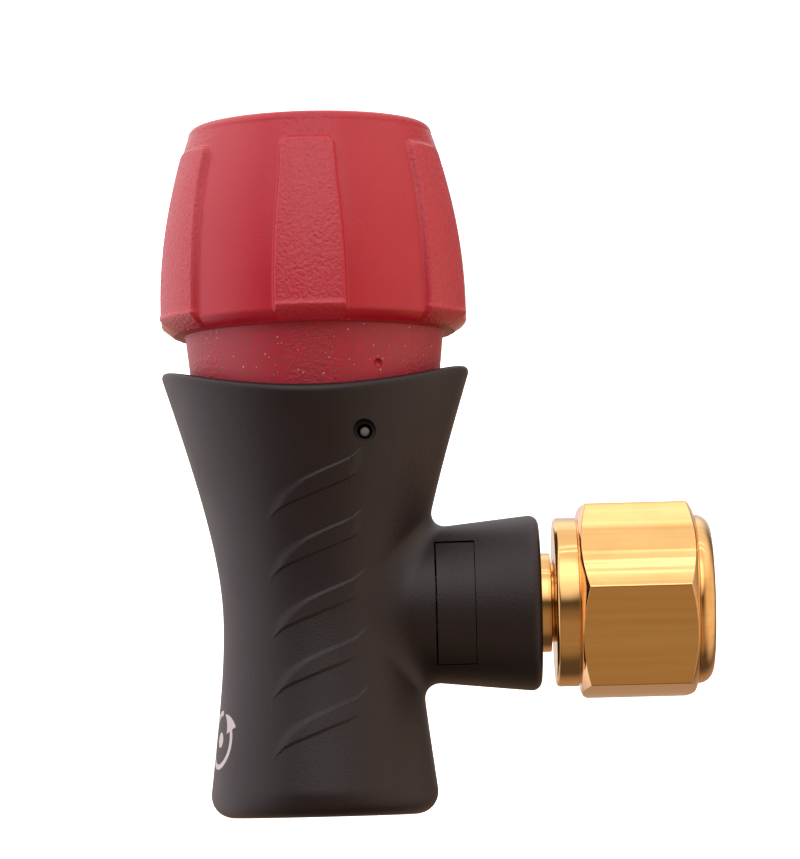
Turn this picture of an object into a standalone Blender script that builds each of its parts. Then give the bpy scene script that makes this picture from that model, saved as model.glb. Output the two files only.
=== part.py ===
"""Cartridge tyre inflator head: a moulded grip, a screw-down valve and a swivelling valve chuck.

Metres, +Z up. The gas cartridge screws in from below, on the Z axis, and the origin is on that
axis in the plane of the base. The outlet arm points along +X. The knob is drawn fully raised,
which is the open valve; it screws down by KNOB_TRAVEL to close.
"""

import math

import bmesh
import bpy

MM = 0.001

# Clearances
GAP = 0.3 * MM
SEAL_GAP = 0.1 * MM
KEY_GAP = 0.12 * MM
OVERCUT = 2.0 * MM

# Grip shell: a body of revolution, pinched at the waist, with a saddle-shaped rim
WAIST_RADIUS = 7.92 * MM
WAIST_HEIGHT = 15.6 * MM
UPPER_FLARE = 0.352
UPPER_BEND = 9.0 * MM
LOWER_FLARE = 0.142
LOWER_BEND = 6.0 * MM
BASE_CORNER = 1.85 * MM
RIM_HEIGHT = 34.1 * MM
RIM_ROUND = 0.6 * MM
SADDLE_RISE = 2.2 * MM
CUP_DEPTH = 2.5 * MM

# Outlet arm
ARM_RADIUS = 6.17 * MM
ARM_SLOPE = 0.1033
ARM_TAPER_START = 7.9 * MM
ARM_REACH = 17.8 * MM
ARM_EDGE = 0.9 * MM

# Valve block and the cartridge socket, a 3/8-24 thread drawn at its minor diameter
BLOCK_RADIUS = 6.1 * MM
BLOCK_RECESS = 0.6 * MM
SOCKET_RADIUS = 4.35 * MM
SOCKET_DEPTH = 9.4 * MM
NEEDLE_BORE_RADIUS = 1.8 * MM
MAIN_BORE_RADIUS = 2.6 * MM
SPRING_BORE_RADIUS = 3.9 * MM
THREAD_RADIUS = 5.0 * MM
PORT_DROP = 2.6 * MM

# Needle, filter and seals
NEEDLE_FLANGE_RADIUS = 3.0 * MM
NEEDLE_FLANGE = 0.9 * MM
NEEDLE_POINT = 1.7 * MM
NEEDLE_SHANK = 1.9 * MM
NEEDLE_HOLE_RADIUS = 0.4 * MM
NEEDLE_TIP_RADIUS = 0.52 * MM
NEEDLE_TIP_DISH = 0.34 * MM
CARTRIDGE_SEAL = 1.2 * MM
FILTER_THICKNESS = 1.2 * MM
FILTER_ROOM = 0.5 * MM
SEAT_THICKNESS = 0.9 * MM
SEAT_HOLE_RADIUS = 0.8 * MM

# Knob, its brass insert and its travel
THREAD_PITCH = 1.5 * MM
KNOB_TURNS = 1.2
KNOB_TRAVEL = THREAD_PITCH * KNOB_TURNS
LOWERED_GAP = 0.4 * MM
SKIRT_GAP = 1.0 * MM
KNOB_HEIGHT = 17.1 * MM
KNOB_RADIUS = 12.45 * MM
KNOB_WIDEST = 1.9 * MM
KNOB_CURVE = 84.0 * MM
KNOB_TOP_ROUND = 1.2 * MM
KNOB_UNDERSIDE_RADIUS = 11.4 * MM
KNOB_CHAMFER = 0.8 * MM
KNOB_CHAMFER_SETBACK = 0.05 * MM
RIB_COUNT = 6
RIB_HEIGHT = 0.4 * MM
RIB_FOOT = 0.2 * MM
RIB_TOP_SETBACK = 2.6 * MM
VALLEY_WIDTH = 6.85 * MM
RIB_FLANK = 0.35 * MM
NECK_TOP_RADIUS = 10.5 * MM
NECK_TAPER = 0.0964
INSERT_WALL = 1.3 * MM
INSERT_SETBACK = 0.7 * MM
INSERT_THREAD = 9.5 * MM
INSERT_WEB = 1.5 * MM
UNDERCUT_RADIUS = 5.9 * MM
CLIP_ROOM_RADIUS = 4.5 * MM
CLIP_ROOM = 3.1 * MM

# Stop ring on the block's neck
STOP_RING_THICKNESS = 0.8 * MM
STOP_RING_BITE = 0.45 * MM
STOP_RING_MOUTH = 2.8 * MM
NECK_END = 1.1 * MM

# Plunger
TIP_RADIUS = 0.6 * MM
TIP_LENGTH = 1.2 * MM
STEM_LAND_LENGTH = 2.0 * MM
PLUNGER_THIN_RADIUS = 1.5 * MM
PLUNGER_LAND_LENGTH = 6.3 * MM
PLUNGER_SHAFT_RADIUS = 1.6 * MM
PLUNGER_FLANGE = 1.5 * MM
PLUNGER_FLANGE_DROP = 2.9 * MM
PLUNGER_SHOULDER_RADIUS = 3.0 * MM
PLUNGER_NECK_RADIUS = 1.8 * MM
PLUNGER_OVER_CLIP = 0.9 * MM
WASHER_THICKNESS = 0.7 * MM
CLIP_THICKNESS = 0.6 * MM
CLIP_RADIUS = 3.2 * MM
CLIP_BITE = 0.5 * MM
CLIP_MOUTH = 2.0 * MM
O_RING_SECTION = 0.84 * MM
O_RING_PITCH = 2.0 * MM

# Springs
RETURN_WIRE = 0.7 * MM
RETURN_TURNS = 5
RETURN_SPRING_INSET = 0.15 * MM
DEPRESSOR_WIRE = 0.4 * MM
DEPRESSOR_TURNS = 5

# Locking pin, which crosses the block beside its bore
PIN_OFFSET = 4.0 * MM
PIN_DROP = 1.2 * MM
PIN_RADIUS = 0.5 * MM
PIN_BEVEL = 0.17 * MM
PIN_HOLE_RADIUS = 0.9 * MM
PIN_SINK = 1.2 * MM
PIN_ROOF = 1.6 * MM

# Outlet stem and its key
STEM_RADIUS = 4.02 * MM
STEM_BORE_RADIUS = 0.9 * MM
SPIGOT_RADIUS = 2.2 * MM
SPIGOT_STANDOFF = 0.8 * MM
KEY_SETBACK = 6.9 * MM
KEY_WIDTH = 3.0 * MM
KEY_HALF_HEIGHT = 4.85 * MM
KEY_DEPTH = 2.5 * MM
PRONG_WIDTH = 2.3 * MM
PRONG_INNER = 3.3 * MM
PRONG_OUTER = 4.6 * MM
PRONG_REACH = 3.4 * MM
PRONG_ROOT = 0.6 * MM
KEY_GROOVE_RADIUS = 3.0 * MM
NOSE_RADIUS = 3.2 * MM
NOSE_LENGTH = 5.15 * MM
NOSE_BORE_RADIUS = 1.7 * MM
NOSE_BORE_DEPTH = 5.1 * MM

# Chuck
CHUCK_GAP = 1.15 * MM
COLLAR_RADIUS = 6.85 * MM
COLLAR_LENGTH = 1.95 * MM
COLLAR_CHAMFER = 0.5 * MM
HEX_ACROSS_FLATS = 15.0 * MM
HEX_LENGTH = 9.4 * MM
HEX_CHAMFER_RADIUS = 6.9 * MM
HEX_CHAMFER_RUN = 1.1 * MM
HEX_CORNER_ANGLE = 5.7
MOUTH_COLLAR = 1.4 * MM
MOUTH_ROUND = 1.2 * MM
MOUTH_RADIUS = 3.95 * MM
MOUTH_CHAMFER = 0.4 * MM
CHUCK_SEAL = 1.6 * MM
SEAL_HOLE_RADIUS = 0.9 * MM
SEAL_CHAMFER = 0.2 * MM
SNAP_SETBACK = 1.85 * MM
SNAP_WIDTH = 0.7 * MM
SNAP_BITE = 0.35 * MM
SNAP_MOUTH = 2.0 * MM
SWIVEL_RING_SETBACK = 3.95 * MM

# Valve-core depressor
DEPRESSOR_RADIUS = 0.6 * MM
DEPRESSOR_FLANGE = 0.8 * MM
DEPRESSOR_TAIL = 2.4 * MM
DEPRESSOR_REACH = 1.1 * MM

# Fineness of the round pieces
BODY_STEPS = 48
ROUND_STEPS = 30
SMALL_STEPS = 18
ARC_STEPS = 3
SHELL_ROWS = 10
KNOB_ROWS = 6
COIL_STEPS = 10
O_RING_SIDES = 8

# Heights worked out from the stack, from the base up
SOCKET_FLOOR = BLOCK_RECESS + SOCKET_DEPTH
NEEDLE_TOP = SOCKET_FLOOR + NEEDLE_SHANK + GAP
FILTER_BOTTOM = NEEDLE_TOP + GAP
MAIN_BORE_FLOOR = FILTER_BOTTOM + FILTER_THICKNESS + FILTER_ROOM
ARM_HEIGHT = MAIN_BORE_FLOOR + PORT_DROP
SEAT_BOTTOM = MAIN_BORE_FLOOR + GAP
SEAT_TOP = SEAT_BOTTOM + SEAT_THICKNESS
TIP_HEIGHT = SEAT_TOP + GAP + KNOB_TRAVEL
CUP_FLOOR = RIM_HEIGHT - CUP_DEPTH
PIN_HEIGHT = CUP_FLOOR - PIN_DROP
SPRING_FLOOR = PIN_HEIGHT + PIN_ROOF
NECK_BOTTOM = CUP_FLOOR + LOWERED_GAP + KNOB_TRAVEL
SKIRT_HEIGHT = RIM_HEIGHT + SADDLE_RISE + SKIRT_GAP + KNOB_TRAVEL
KNOB_TOP = SKIRT_HEIGHT + KNOB_HEIGHT
INSERT_BOTTOM = NECK_BOTTOM + INSERT_SETBACK
INSERT_SHOULDER = INSERT_BOTTOM + INSERT_THREAD
STOP_RING_BOTTOM = INSERT_SHOULDER + GAP
STOP_RING_TOP = STOP_RING_BOTTOM + STOP_RING_THICKNESS
BLOCK_TOP = STOP_RING_TOP + NECK_END
WEB_BOTTOM = BLOCK_TOP + LOWERED_GAP + SEAL_GAP + KNOB_TRAVEL
WEB_TOP = WEB_BOTTOM + INSERT_WEB
PLUNGER_FLANGE_BOTTOM = BLOCK_TOP - PLUNGER_FLANGE_DROP
SPRING_TOP = PLUNGER_FLANGE_BOTTOM - GAP
SHOULDER_TOP = WEB_BOTTOM - WASHER_THICKNESS - 2 * GAP
CLIP_BOTTOM = WEB_TOP + GAP + SEAL_GAP
CLIP_TOP = CLIP_BOTTOM + CLIP_THICKNESS
PLUNGER_TOP = CLIP_TOP + PLUNGER_OVER_CLIP

# Radii worked out from what fits inside what
SHELL_BORE_RADIUS = BLOCK_RADIUS + GAP
INSERT_BORE_RADIUS = THREAD_RADIUS + GAP
INSERT_RADIUS = INSERT_BORE_RADIUS + INSERT_WALL
PLUNGER_LAND_RADIUS = MAIN_BORE_RADIUS - GAP
PLUNGER_FLANGE_RADIUS = SPRING_BORE_RADIUS - GAP - SEAL_GAP
ARM_BORE_RADIUS = STEM_RADIUS + GAP
SPIGOT_BORE_RADIUS = SPIGOT_RADIUS + GAP
CHUCK_BORE_RADIUS = NOSE_RADIUS + GAP
O_RING_MID_RADIUS = MAIN_BORE_RADIUS - SEAL_GAP - O_RING_SECTION / 2

# Places along the arm
SHOULDER_X = SHELL_BORE_RADIUS + GAP
SPIGOT_START = MAIN_BORE_RADIUS + SPIGOT_STANDOFF
KEY_X = ARM_REACH - KEY_SETBACK
CHUCK_START = ARM_REACH + CHUCK_GAP
NOSE_START = CHUCK_START - GAP
NOSE_END = CHUCK_START + NOSE_LENGTH
HEX_START = CHUCK_START + COLLAR_LENGTH
HEX_END = HEX_START + HEX_LENGTH
CHUCK_END = HEX_END + MOUTH_COLLAR
CHUCK_SEAL_START = NOSE_END + GAP
CHUCK_SEAL_END = CHUCK_SEAL_START + CHUCK_SEAL
DEPRESSOR_FLANGE_END = NOSE_END - GAP - SEAL_GAP
DEPRESSOR_FLANGE_START = DEPRESSOR_FLANGE_END - DEPRESSOR_FLANGE


def clear_scene():
    """Removes the objects that are in the scene before the model is made."""
    for obj in list(bpy.data.objects):
        bpy.data.objects.remove(obj, do_unlink=True)


def linear(channel):
    """One sRGB channel, 0 to 255, as a linear value."""
    value = channel / 255
    return value / 12.92 if value <= 0.04045 else ((value + 0.055) / 1.055) ** 2.4


def make_material(name, srgb, roughness, metallic=0.0):
    """A Principled material with one colour."""
    material = bpy.data.materials.new(name)
    material.use_nodes = True
    shader = material.node_tree.nodes["Principled BSDF"]
    shader.inputs["Base Color"].default_value = (*[linear(c) for c in srgb], 1.0)
    shader.inputs["Roughness"].default_value = roughness
    shader.inputs["Metallic"].default_value = metallic
    material.diffuse_color = shader.inputs["Base Color"].default_value
    return material


def add_object(name, mesh, material=None, place=(0, 0, 0), turn=(0, 0, 0)):
    """Puts a mesh in the scene as an object, at its place."""
    obj = bpy.data.objects.new(name, mesh)
    bpy.context.scene.collection.objects.link(obj)
    obj.location = place
    obj.rotation_euler = turn
    if material:
        mesh.materials.append(material)
    return obj


def mesh_from(bm, name, sharp_angle=35):
    """Turns a bmesh into a smooth-shaded mesh with sharp corners."""
    bmesh.ops.recalc_face_normals(bm, faces=bm.faces)
    mesh = bpy.data.meshes.new(name)
    bm.to_mesh(mesh)
    bm.free()
    mesh.shade_smooth()
    mesh.set_sharp_from_angle(angle=math.radians(sharp_angle))
    return mesh


def turned_mesh(name, outline, steps=ROUND_STEPS):
    """A solid turned about Z from its closed (radius, height) outline."""
    bm = bmesh.new()
    points = [bm.verts.new((radius, 0, height)) for radius, height in outline]
    closed = outline[0][0] > 0 or outline[-1][0] > 0
    pairs = list(zip(points, points[1:]))
    if closed:
        pairs.append((points[-1], points[0]))
    edges = [bm.edges.new(pair) for pair in pairs]
    bmesh.ops.spin(
        bm,
        geom=points + edges,
        cent=(0, 0, 0),
        axis=(0, 0, 1),
        angle=2 * math.pi,
        steps=steps,
        use_merge=True,
    )
    bmesh.ops.remove_doubles(bm, verts=bm.verts, dist=1e-7)
    return mesh_from(bm, name)


def box_mesh(name, low, high):
    """A box between two corners."""
    bm = bmesh.new()
    bmesh.ops.create_cube(bm, size=1.0)
    for vertex in bm.verts:
        for axis in range(3):
            vertex.co[axis] = high[axis] if vertex.co[axis] > 0 else low[axis]
    return mesh_from(bm, name)


def rows_mesh(name, rows):
    """A solid from stacked rings of points, closed by one face at each end."""
    bm = bmesh.new()
    rings = [[bm.verts.new(point) for point in row] for row in rows]
    for below, above in zip(rings, rings[1:]):
        for index, corner in enumerate(below):
            beside = (index + 1) % len(below)
            bm.faces.new((corner, below[beside], above[beside], above[index]))
    for ring in (rings[0], rings[-1]):
        middle = bm.verts.new(sum((v.co for v in ring), ring[0].co * 0) / len(ring))
        for index, corner in enumerate(ring):
            bm.faces.new((corner, ring[(index + 1) % len(ring)], middle))
    return mesh_from(bm, name)


def combine(obj, other, operation, solver="EXACT"):
    """Adds a Boolean with a helper object, which stays out of the model."""
    other.hide_render = True
    other.display_type = "WIRE"
    modifier = obj.modifiers.new(other.name, "BOOLEAN")
    modifier.operation = operation
    modifier.object = other
    modifier.solver = solver


def arc(middle, radius, start, end, steps=ARC_STEPS):
    """Points on an arc; angles in degrees."""
    turns = [math.radians(start + (end - start) * i / steps) for i in range(steps + 1)]
    return [(middle[0] + radius * math.cos(t), middle[1] + radius * math.sin(t)) for t in turns]


def o_ring_outline(mid_radius, height):
    """The round section of an O-ring."""
    last = 360 - 360 / O_RING_SIDES
    return arc((mid_radius, height), O_RING_SECTION / 2, 0, last, O_RING_SIDES - 1)


def cylinder_outline(radius, low, high):
    """The outline of a plain turned cylinder."""
    return [(0, low), (radius, low), (radius, high), (0, high)]


def tube_outline(inner, outer, low, high, chamfer=0.0):
    """The outline of a ring, with chamfered outer edges if asked."""
    outline = [(inner, low), (outer - chamfer, low)]
    if chamfer:
        outline += [(outer, low + chamfer), (outer, high - chamfer)]
    else:
        outline += [(outer, low)]
    return outline + [(outer - chamfer, high), (inner, high)]


def along_arm(name, outline, material=None, steps=ROUND_STEPS, spin=0.0):
    """A turned solid on the arm's axis, whose outline's heights are places along +X."""
    place = (0, 0, ARM_HEIGHT)
    mesh = turned_mesh(name, outline, steps)
    return add_object(name, mesh, material, place, (spin, math.pi / 2, 0))


def on_body(name, outline, material=None, steps=ROUND_STEPS):
    """A turned solid on the body's axis."""
    return add_object(name, turned_mesh(name, outline, steps), material)


def split_ring(name, inner, outer, low, high, mouth, material):
    """A retaining ring about Z with a gap towards +X."""
    ring = on_body(name, tube_outline(inner, outer, low, high), material, SMALL_STEPS)
    reach = (outer + OVERCUT, mouth / 2, high + OVERCUT)
    cutter = box_mesh(name + "_gap", (0, -mouth / 2, low - OVERCUT), reach)
    combine(ring, add_object(name + "_gap", cutter), "DIFFERENCE")
    return ring


def coil_spring(name, mid_radius, wire, low, high, turns, material):
    """A compression spring about Z, from one end coil to the other."""
    curve = bpy.data.curves.new(name, "CURVE")
    curve.dimensions = "3D"
    curve.bevel_depth = wire / 2
    curve.bevel_resolution = 2
    curve.use_fill_caps = True
    spline = curve.splines.new("POLY")
    count = COIL_STEPS * turns
    spline.points.add(count)
    climb = high - low - wire
    for index, point in enumerate(spline.points):
        share = index / count
        turn = 2 * math.pi * turns * share
        height = low + wire / 2 + climb * share
        point.co = (mid_radius * math.cos(turn), mid_radius * math.sin(turn), height, 1)
    spring = bpy.data.objects.new(name, curve)
    bpy.context.scene.collection.objects.link(spring)
    curve.materials.append(material)
    return spring


def shell_radius(height):
    """The shell's outer radius at a height above the base corner."""
    rise = height - WAIST_HEIGHT
    flare, bend = (UPPER_FLARE, UPPER_BEND) if rise > 0 else (LOWER_FLARE, LOWER_BEND)
    return WAIST_RADIUS + flare * (math.hypot(rise, bend) - bend)


def arm_radius(reach):
    """The arm's outer radius at a distance from the body's axis."""
    return ARM_RADIUS + ARM_SLOPE * (reach - ARM_TAPER_START)


def neck_radius(height):
    """The knob neck's outer radius, with the knob raised."""
    return NECK_TOP_RADIUS - NECK_TAPER * (SKIRT_HEIGHT - height)


def knob_radius(height):
    """The knob barrel's radius between its ribs."""
    above = max(0.0, height - SKIRT_HEIGHT - KNOB_WIDEST)
    return KNOB_RADIUS - above * above / KNOB_CURVE


def rim_height(turn):
    """The saddle rim's height at an angle about the Z axis."""
    return RIM_HEIGHT + SADDLE_RISE * math.cos(turn) ** 2


def shell_rows():
    """Rings of points on the shell's outside, from the base to the rounded saddle rim."""
    turns = [2 * math.pi * i / BODY_STEPS for i in range(BODY_STEPS)]
    corner_radius = shell_radius(BASE_CORNER) - BASE_CORNER
    base = arc((corner_radius, BASE_CORNER), BASE_CORNER, -90, 0)
    rows = [[(radius, height)] * BODY_STEPS for radius, height in base]
    for row in range(1, SHELL_ROWS + 1):
        ring = []
        for turn in turns:
            climb = rim_height(turn) - RIM_ROUND - BASE_CORNER
            height = BASE_CORNER + climb * row / SHELL_ROWS
            ring.append((shell_radius(height), height))
        rows.append(ring)
    for step in range(1, ARC_STEPS + 1):
        bend = math.pi / 2 * step / ARC_STEPS
        rows.append([
            (radius - RIM_ROUND * (1 - math.cos(bend)), height + RIM_ROUND * math.sin(bend))
            for radius, height in rows[SHELL_ROWS + ARC_STEPS]
        ])
    return [
        [(radius * math.cos(turn), radius * math.sin(turn), height)
         for turn, (radius, height) in zip(turns, row)]
        for row in rows
    ]


def build_shell(material):
    """The moulded grip with its arm, bores, key slot and pin hole."""
    shell = add_object("grip_shell", rows_mesh("grip_shell", shell_rows()), material)

    end_radius = arm_radius(ARM_REACH)
    arm_outline = [(0, BLOCK_RADIUS / 2), (arm_radius(BLOCK_RADIUS / 2), BLOCK_RADIUS / 2)]
    arm_outline += [(radius, reach) for radius, reach in arc(
        (end_radius - ARM_EDGE, ARM_REACH - ARM_EDGE), ARM_EDGE, 0, 90)]
    arm_outline.append((0, ARM_REACH))
    arm = along_arm("arm_solid", arm_outline, steps=BODY_STEPS)
    combine(shell, arm, "UNION", "MANIFOLD")

    cup_bottom_radius = neck_radius(NECK_BOTTOM) + GAP
    cup_top = RIM_HEIGHT + SADDLE_RISE + OVERCUT
    cup_top_radius = neck_radius(cup_top + KNOB_TRAVEL) + GAP
    bore_low = -OVERCUT
    bore = [(0, bore_low), (SHELL_BORE_RADIUS, bore_low), (SHELL_BORE_RADIUS, CUP_FLOOR)]
    bore += [(cup_bottom_radius, CUP_FLOOR), (cup_top_radius, cup_top), (0, cup_top)]
    helper = on_body("shell_bore", bore, steps=BODY_STEPS)
    combine(shell, helper, "DIFFERENCE", "MANIFOLD")

    arm_bore = cylinder_outline(ARM_BORE_RADIUS, 0, ARM_REACH + OVERCUT)
    combine(shell, along_arm("arm_bore", arm_bore), "DIFFERENCE", "MANIFOLD")

    plate = KEY_WIDTH / 2 + KEY_GAP
    half_height = KEY_HALF_HEIGHT + KEY_GAP
    low = (KEY_X - plate, -end_radius - OVERCUT, ARM_HEIGHT - half_height)
    high = (KEY_X + plate, -KEY_DEPTH + KEY_GAP, ARM_HEIGHT + half_height)
    helper = add_object("key_pocket", box_mesh("key_pocket", low, high))
    combine(shell, helper, "DIFFERENCE", "MANIFOLD")
    prong = PRONG_WIDTH / 2 + KEY_GAP
    half_height = PRONG_OUTER + KEY_GAP
    low = (KEY_X - prong, -KEY_DEPTH - KEY_GAP, ARM_HEIGHT - half_height)
    high = (KEY_X + prong, PRONG_REACH + GAP, ARM_HEIGHT + half_height)
    helper = add_object("prong_slot", box_mesh("prong_slot", low, high))
    combine(shell, helper, "DIFFERENCE", "MANIFOLD")

    reach = shell_radius(RIM_HEIGHT) + OVERCUT
    hole = cylinder_outline(PIN_RADIUS + SEAL_GAP, -reach, 0)
    place = (PIN_OFFSET, 0, PIN_HEIGHT)
    turn = (-math.pi / 2, 0, 0)
    hole_mesh = turned_mesh("pin_hole", hole, SMALL_STEPS)
    helper = add_object("pin_hole", hole_mesh, None, place, turn)
    combine(shell, helper, "DIFFERENCE", "MANIFOLD")
    surface = math.sqrt(shell_radius(PIN_HEIGHT) ** 2 - PIN_OFFSET**2)
    sink = cylinder_outline(PIN_HOLE_RADIUS, -reach, -surface + PIN_SINK)
    sink_mesh = turned_mesh("pin_sink", sink, SMALL_STEPS)
    helper = add_object("pin_sink", sink_mesh, None, place, turn)
    combine(shell, helper, "DIFFERENCE", "MANIFOLD")


def build_block(material):
    """The brass valve block: socket, main bore, spring bore, neck, side port and pin hole."""
    groove = THREAD_RADIUS - STOP_RING_BITE
    outline = [
        (SOCKET_RADIUS, BLOCK_RECESS),
        (BLOCK_RADIUS, BLOCK_RECESS),
        (BLOCK_RADIUS, CUP_FLOOR),
        (THREAD_RADIUS, CUP_FLOOR),
        (THREAD_RADIUS, STOP_RING_BOTTOM - SEAL_GAP),
        (groove, STOP_RING_BOTTOM - SEAL_GAP),
        (groove, STOP_RING_TOP + SEAL_GAP),
        (THREAD_RADIUS, STOP_RING_TOP + SEAL_GAP),
        (THREAD_RADIUS, BLOCK_TOP),
        (SPRING_BORE_RADIUS, BLOCK_TOP),
        (SPRING_BORE_RADIUS, SPRING_FLOOR),
        (MAIN_BORE_RADIUS, SPRING_FLOOR),
        (MAIN_BORE_RADIUS, MAIN_BORE_FLOOR),
        (NEEDLE_BORE_RADIUS, MAIN_BORE_FLOOR),
        (NEEDLE_BORE_RADIUS, SOCKET_FLOOR),
        (SOCKET_RADIUS, SOCKET_FLOOR),
    ]
    block = on_body("valve_block", outline, material)
    port = cylinder_outline(SPIGOT_BORE_RADIUS, MAIN_BORE_RADIUS / 2, BLOCK_RADIUS + OVERCUT)
    combine(block, along_arm("port_bore", port, steps=SMALL_STEPS), "DIFFERENCE")
    cross = cylinder_outline(PIN_RADIUS + SEAL_GAP, -BLOCK_RADIUS - OVERCUT, 0)
    cross_mesh = turned_mesh("block_cross_hole", cross, SMALL_STEPS)
    place = (PIN_OFFSET, 0, PIN_HEIGHT)
    helper = add_object("block_cross_hole", cross_mesh, None, place, (-math.pi / 2, 0, 0))
    combine(block, helper, "DIFFERENCE")


def build_pin(material):
    """The steel pin that locks the block in the shell."""
    surface = math.sqrt(shell_radius(PIN_HEIGHT) ** 2 - PIN_OFFSET**2)
    start = -surface + PIN_SINK + GAP
    end = -GAP
    outline = [(0, start), (PIN_RADIUS - PIN_BEVEL, start)]
    outline.append((PIN_RADIUS, start + PIN_BEVEL))
    outline += [(PIN_RADIUS, end), (0, end)]
    mesh = turned_mesh("locking_pin", outline, SMALL_STEPS)
    place = (PIN_OFFSET, 0, PIN_HEIGHT)
    add_object("locking_pin", mesh, material, place, (-math.pi / 2, 0, 0))


def build_needle(material):
    """The hollow needle that pierces the cartridge."""
    flange_top = SOCKET_FLOOR - GAP
    flange_low = flange_top - NEEDLE_FLANGE
    shank = NEEDLE_BORE_RADIUS - GAP
    outline = [
        (NEEDLE_HOLE_RADIUS, flange_low - NEEDLE_POINT + NEEDLE_TIP_DISH),
        (NEEDLE_TIP_RADIUS, flange_low - NEEDLE_POINT),
        (shank, flange_low),
        (NEEDLE_FLANGE_RADIUS, flange_low),
        (NEEDLE_FLANGE_RADIUS, flange_top),
        (shank, flange_top),
        (shank, NEEDLE_TOP),
        (NEEDLE_HOLE_RADIUS, NEEDLE_TOP),
    ]
    on_body("piercing_needle", outline, material, SMALL_STEPS)


def build_seals(rubber, nylon, bronze):
    """The cartridge seal, the filter disc and the valve seat."""
    seal_top = SOCKET_FLOOR - GAP
    outline = tube_outline(
        NEEDLE_FLANGE_RADIUS + GAP, SOCKET_RADIUS - GAP, seal_top - CARTRIDGE_SEAL, seal_top)
    on_body("cartridge_seal", outline, rubber)
    filter_top = FILTER_BOTTOM + FILTER_THICKNESS
    disc = cylinder_outline(NEEDLE_BORE_RADIUS - GAP, FILTER_BOTTOM, filter_top)
    on_body("filter_disc", disc, bronze, SMALL_STEPS)
    seat = tube_outline(SEAT_HOLE_RADIUS, MAIN_BORE_RADIUS - GAP, SEAT_BOTTOM, SEAT_TOP)
    on_body("valve_seat", seat, nylon, SMALL_STEPS)


def o_ring_heights():
    """The heights of the plunger's two O-rings."""
    land_low = TIP_HEIGHT + TIP_LENGTH + STEM_LAND_LENGTH
    middle = land_low + PLUNGER_LAND_LENGTH / 2
    return (middle - O_RING_PITCH / 2, middle + O_RING_PITCH / 2)


def build_plunger(steel, rubber):
    """The plunger that opens and closes the valve, with its two O-rings."""
    thin_low = TIP_HEIGHT + TIP_LENGTH
    land_low = thin_low + STEM_LAND_LENGTH
    land_high = land_low + PLUNGER_LAND_LENGTH
    groove = O_RING_MID_RADIUS - O_RING_SECTION / 2 - SEAL_GAP
    half_groove = O_RING_SECTION / 2 + SEAL_GAP
    outline = [(0, TIP_HEIGHT), (TIP_RADIUS, TIP_HEIGHT), (PLUNGER_THIN_RADIUS, thin_low)]
    outline += [(PLUNGER_THIN_RADIUS, land_low), (PLUNGER_LAND_RADIUS, land_low)]
    for height in o_ring_heights():
        outline += [(PLUNGER_LAND_RADIUS, height - half_groove), (groove, height - half_groove)]
        outline += [(groove, height + half_groove), (PLUNGER_LAND_RADIUS, height + half_groove)]
    outline += [(PLUNGER_LAND_RADIUS, land_high), (PLUNGER_SHAFT_RADIUS, land_high)]
    flange_top = PLUNGER_FLANGE_BOTTOM + PLUNGER_FLANGE
    clip_groove = PLUNGER_NECK_RADIUS - CLIP_BITE
    outline += [
        (PLUNGER_SHAFT_RADIUS, PLUNGER_FLANGE_BOTTOM),
        (PLUNGER_FLANGE_RADIUS, PLUNGER_FLANGE_BOTTOM),
        (PLUNGER_FLANGE_RADIUS, flange_top),
        (PLUNGER_SHOULDER_RADIUS, flange_top),
        (PLUNGER_SHOULDER_RADIUS, SHOULDER_TOP),
        (PLUNGER_NECK_RADIUS, SHOULDER_TOP),
        (PLUNGER_NECK_RADIUS, CLIP_BOTTOM - SEAL_GAP),
        (clip_groove, CLIP_BOTTOM - SEAL_GAP),
        (clip_groove, CLIP_TOP + SEAL_GAP),
        (PLUNGER_NECK_RADIUS, CLIP_TOP + SEAL_GAP),
        (PLUNGER_NECK_RADIUS, PLUNGER_TOP),
        (0, PLUNGER_TOP),
    ]
    on_body("valve_plunger", outline, steel, SMALL_STEPS)
    for name, height in zip(("plunger_o_ring_lower", "plunger_o_ring_upper"), o_ring_heights()):
        on_body(name, o_ring_outline(O_RING_MID_RADIUS, height), rubber, SMALL_STEPS)


def build_plunger_clip(steel, nylon):
    """What holds the knob on the plunger: a thrust washer below the web, a clip above it."""
    washer_low = SHOULDER_TOP + GAP
    washer = tube_outline(
        PLUNGER_NECK_RADIUS + GAP, CLIP_RADIUS, washer_low, washer_low + WASHER_THICKNESS)
    on_body("thrust_washer", washer, nylon, SMALL_STEPS)
    inner = PLUNGER_NECK_RADIUS - CLIP_BITE + SEAL_GAP
    split_ring("plunger_clip", inner, CLIP_RADIUS, CLIP_BOTTOM, CLIP_TOP, CLIP_MOUTH, steel)


def build_stop_ring(material):
    """The ring on the block's neck that stops the knob from screwing off."""
    inner = THREAD_RADIUS - STOP_RING_BITE + SEAL_GAP
    outer = UNDERCUT_RADIUS - GAP
    split_ring(
        "stop_ring", inner, outer, STOP_RING_BOTTOM, STOP_RING_TOP, STOP_RING_MOUTH, material)


def build_insert(material):
    """The brass sleeve in the knob, threaded on the block's neck."""
    outline = [
        (INSERT_BORE_RADIUS, INSERT_BOTTOM),
        (INSERT_RADIUS, INSERT_BOTTOM),
        (INSERT_RADIUS, WEB_TOP),
        (PLUNGER_NECK_RADIUS + GAP, WEB_TOP),
        (PLUNGER_NECK_RADIUS + GAP, WEB_BOTTOM),
        (UNDERCUT_RADIUS, WEB_BOTTOM),
        (UNDERCUT_RADIUS, INSERT_SHOULDER),
        (INSERT_BORE_RADIUS, INSERT_SHOULDER),
    ]
    on_body("knob_insert", outline, material)


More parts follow.
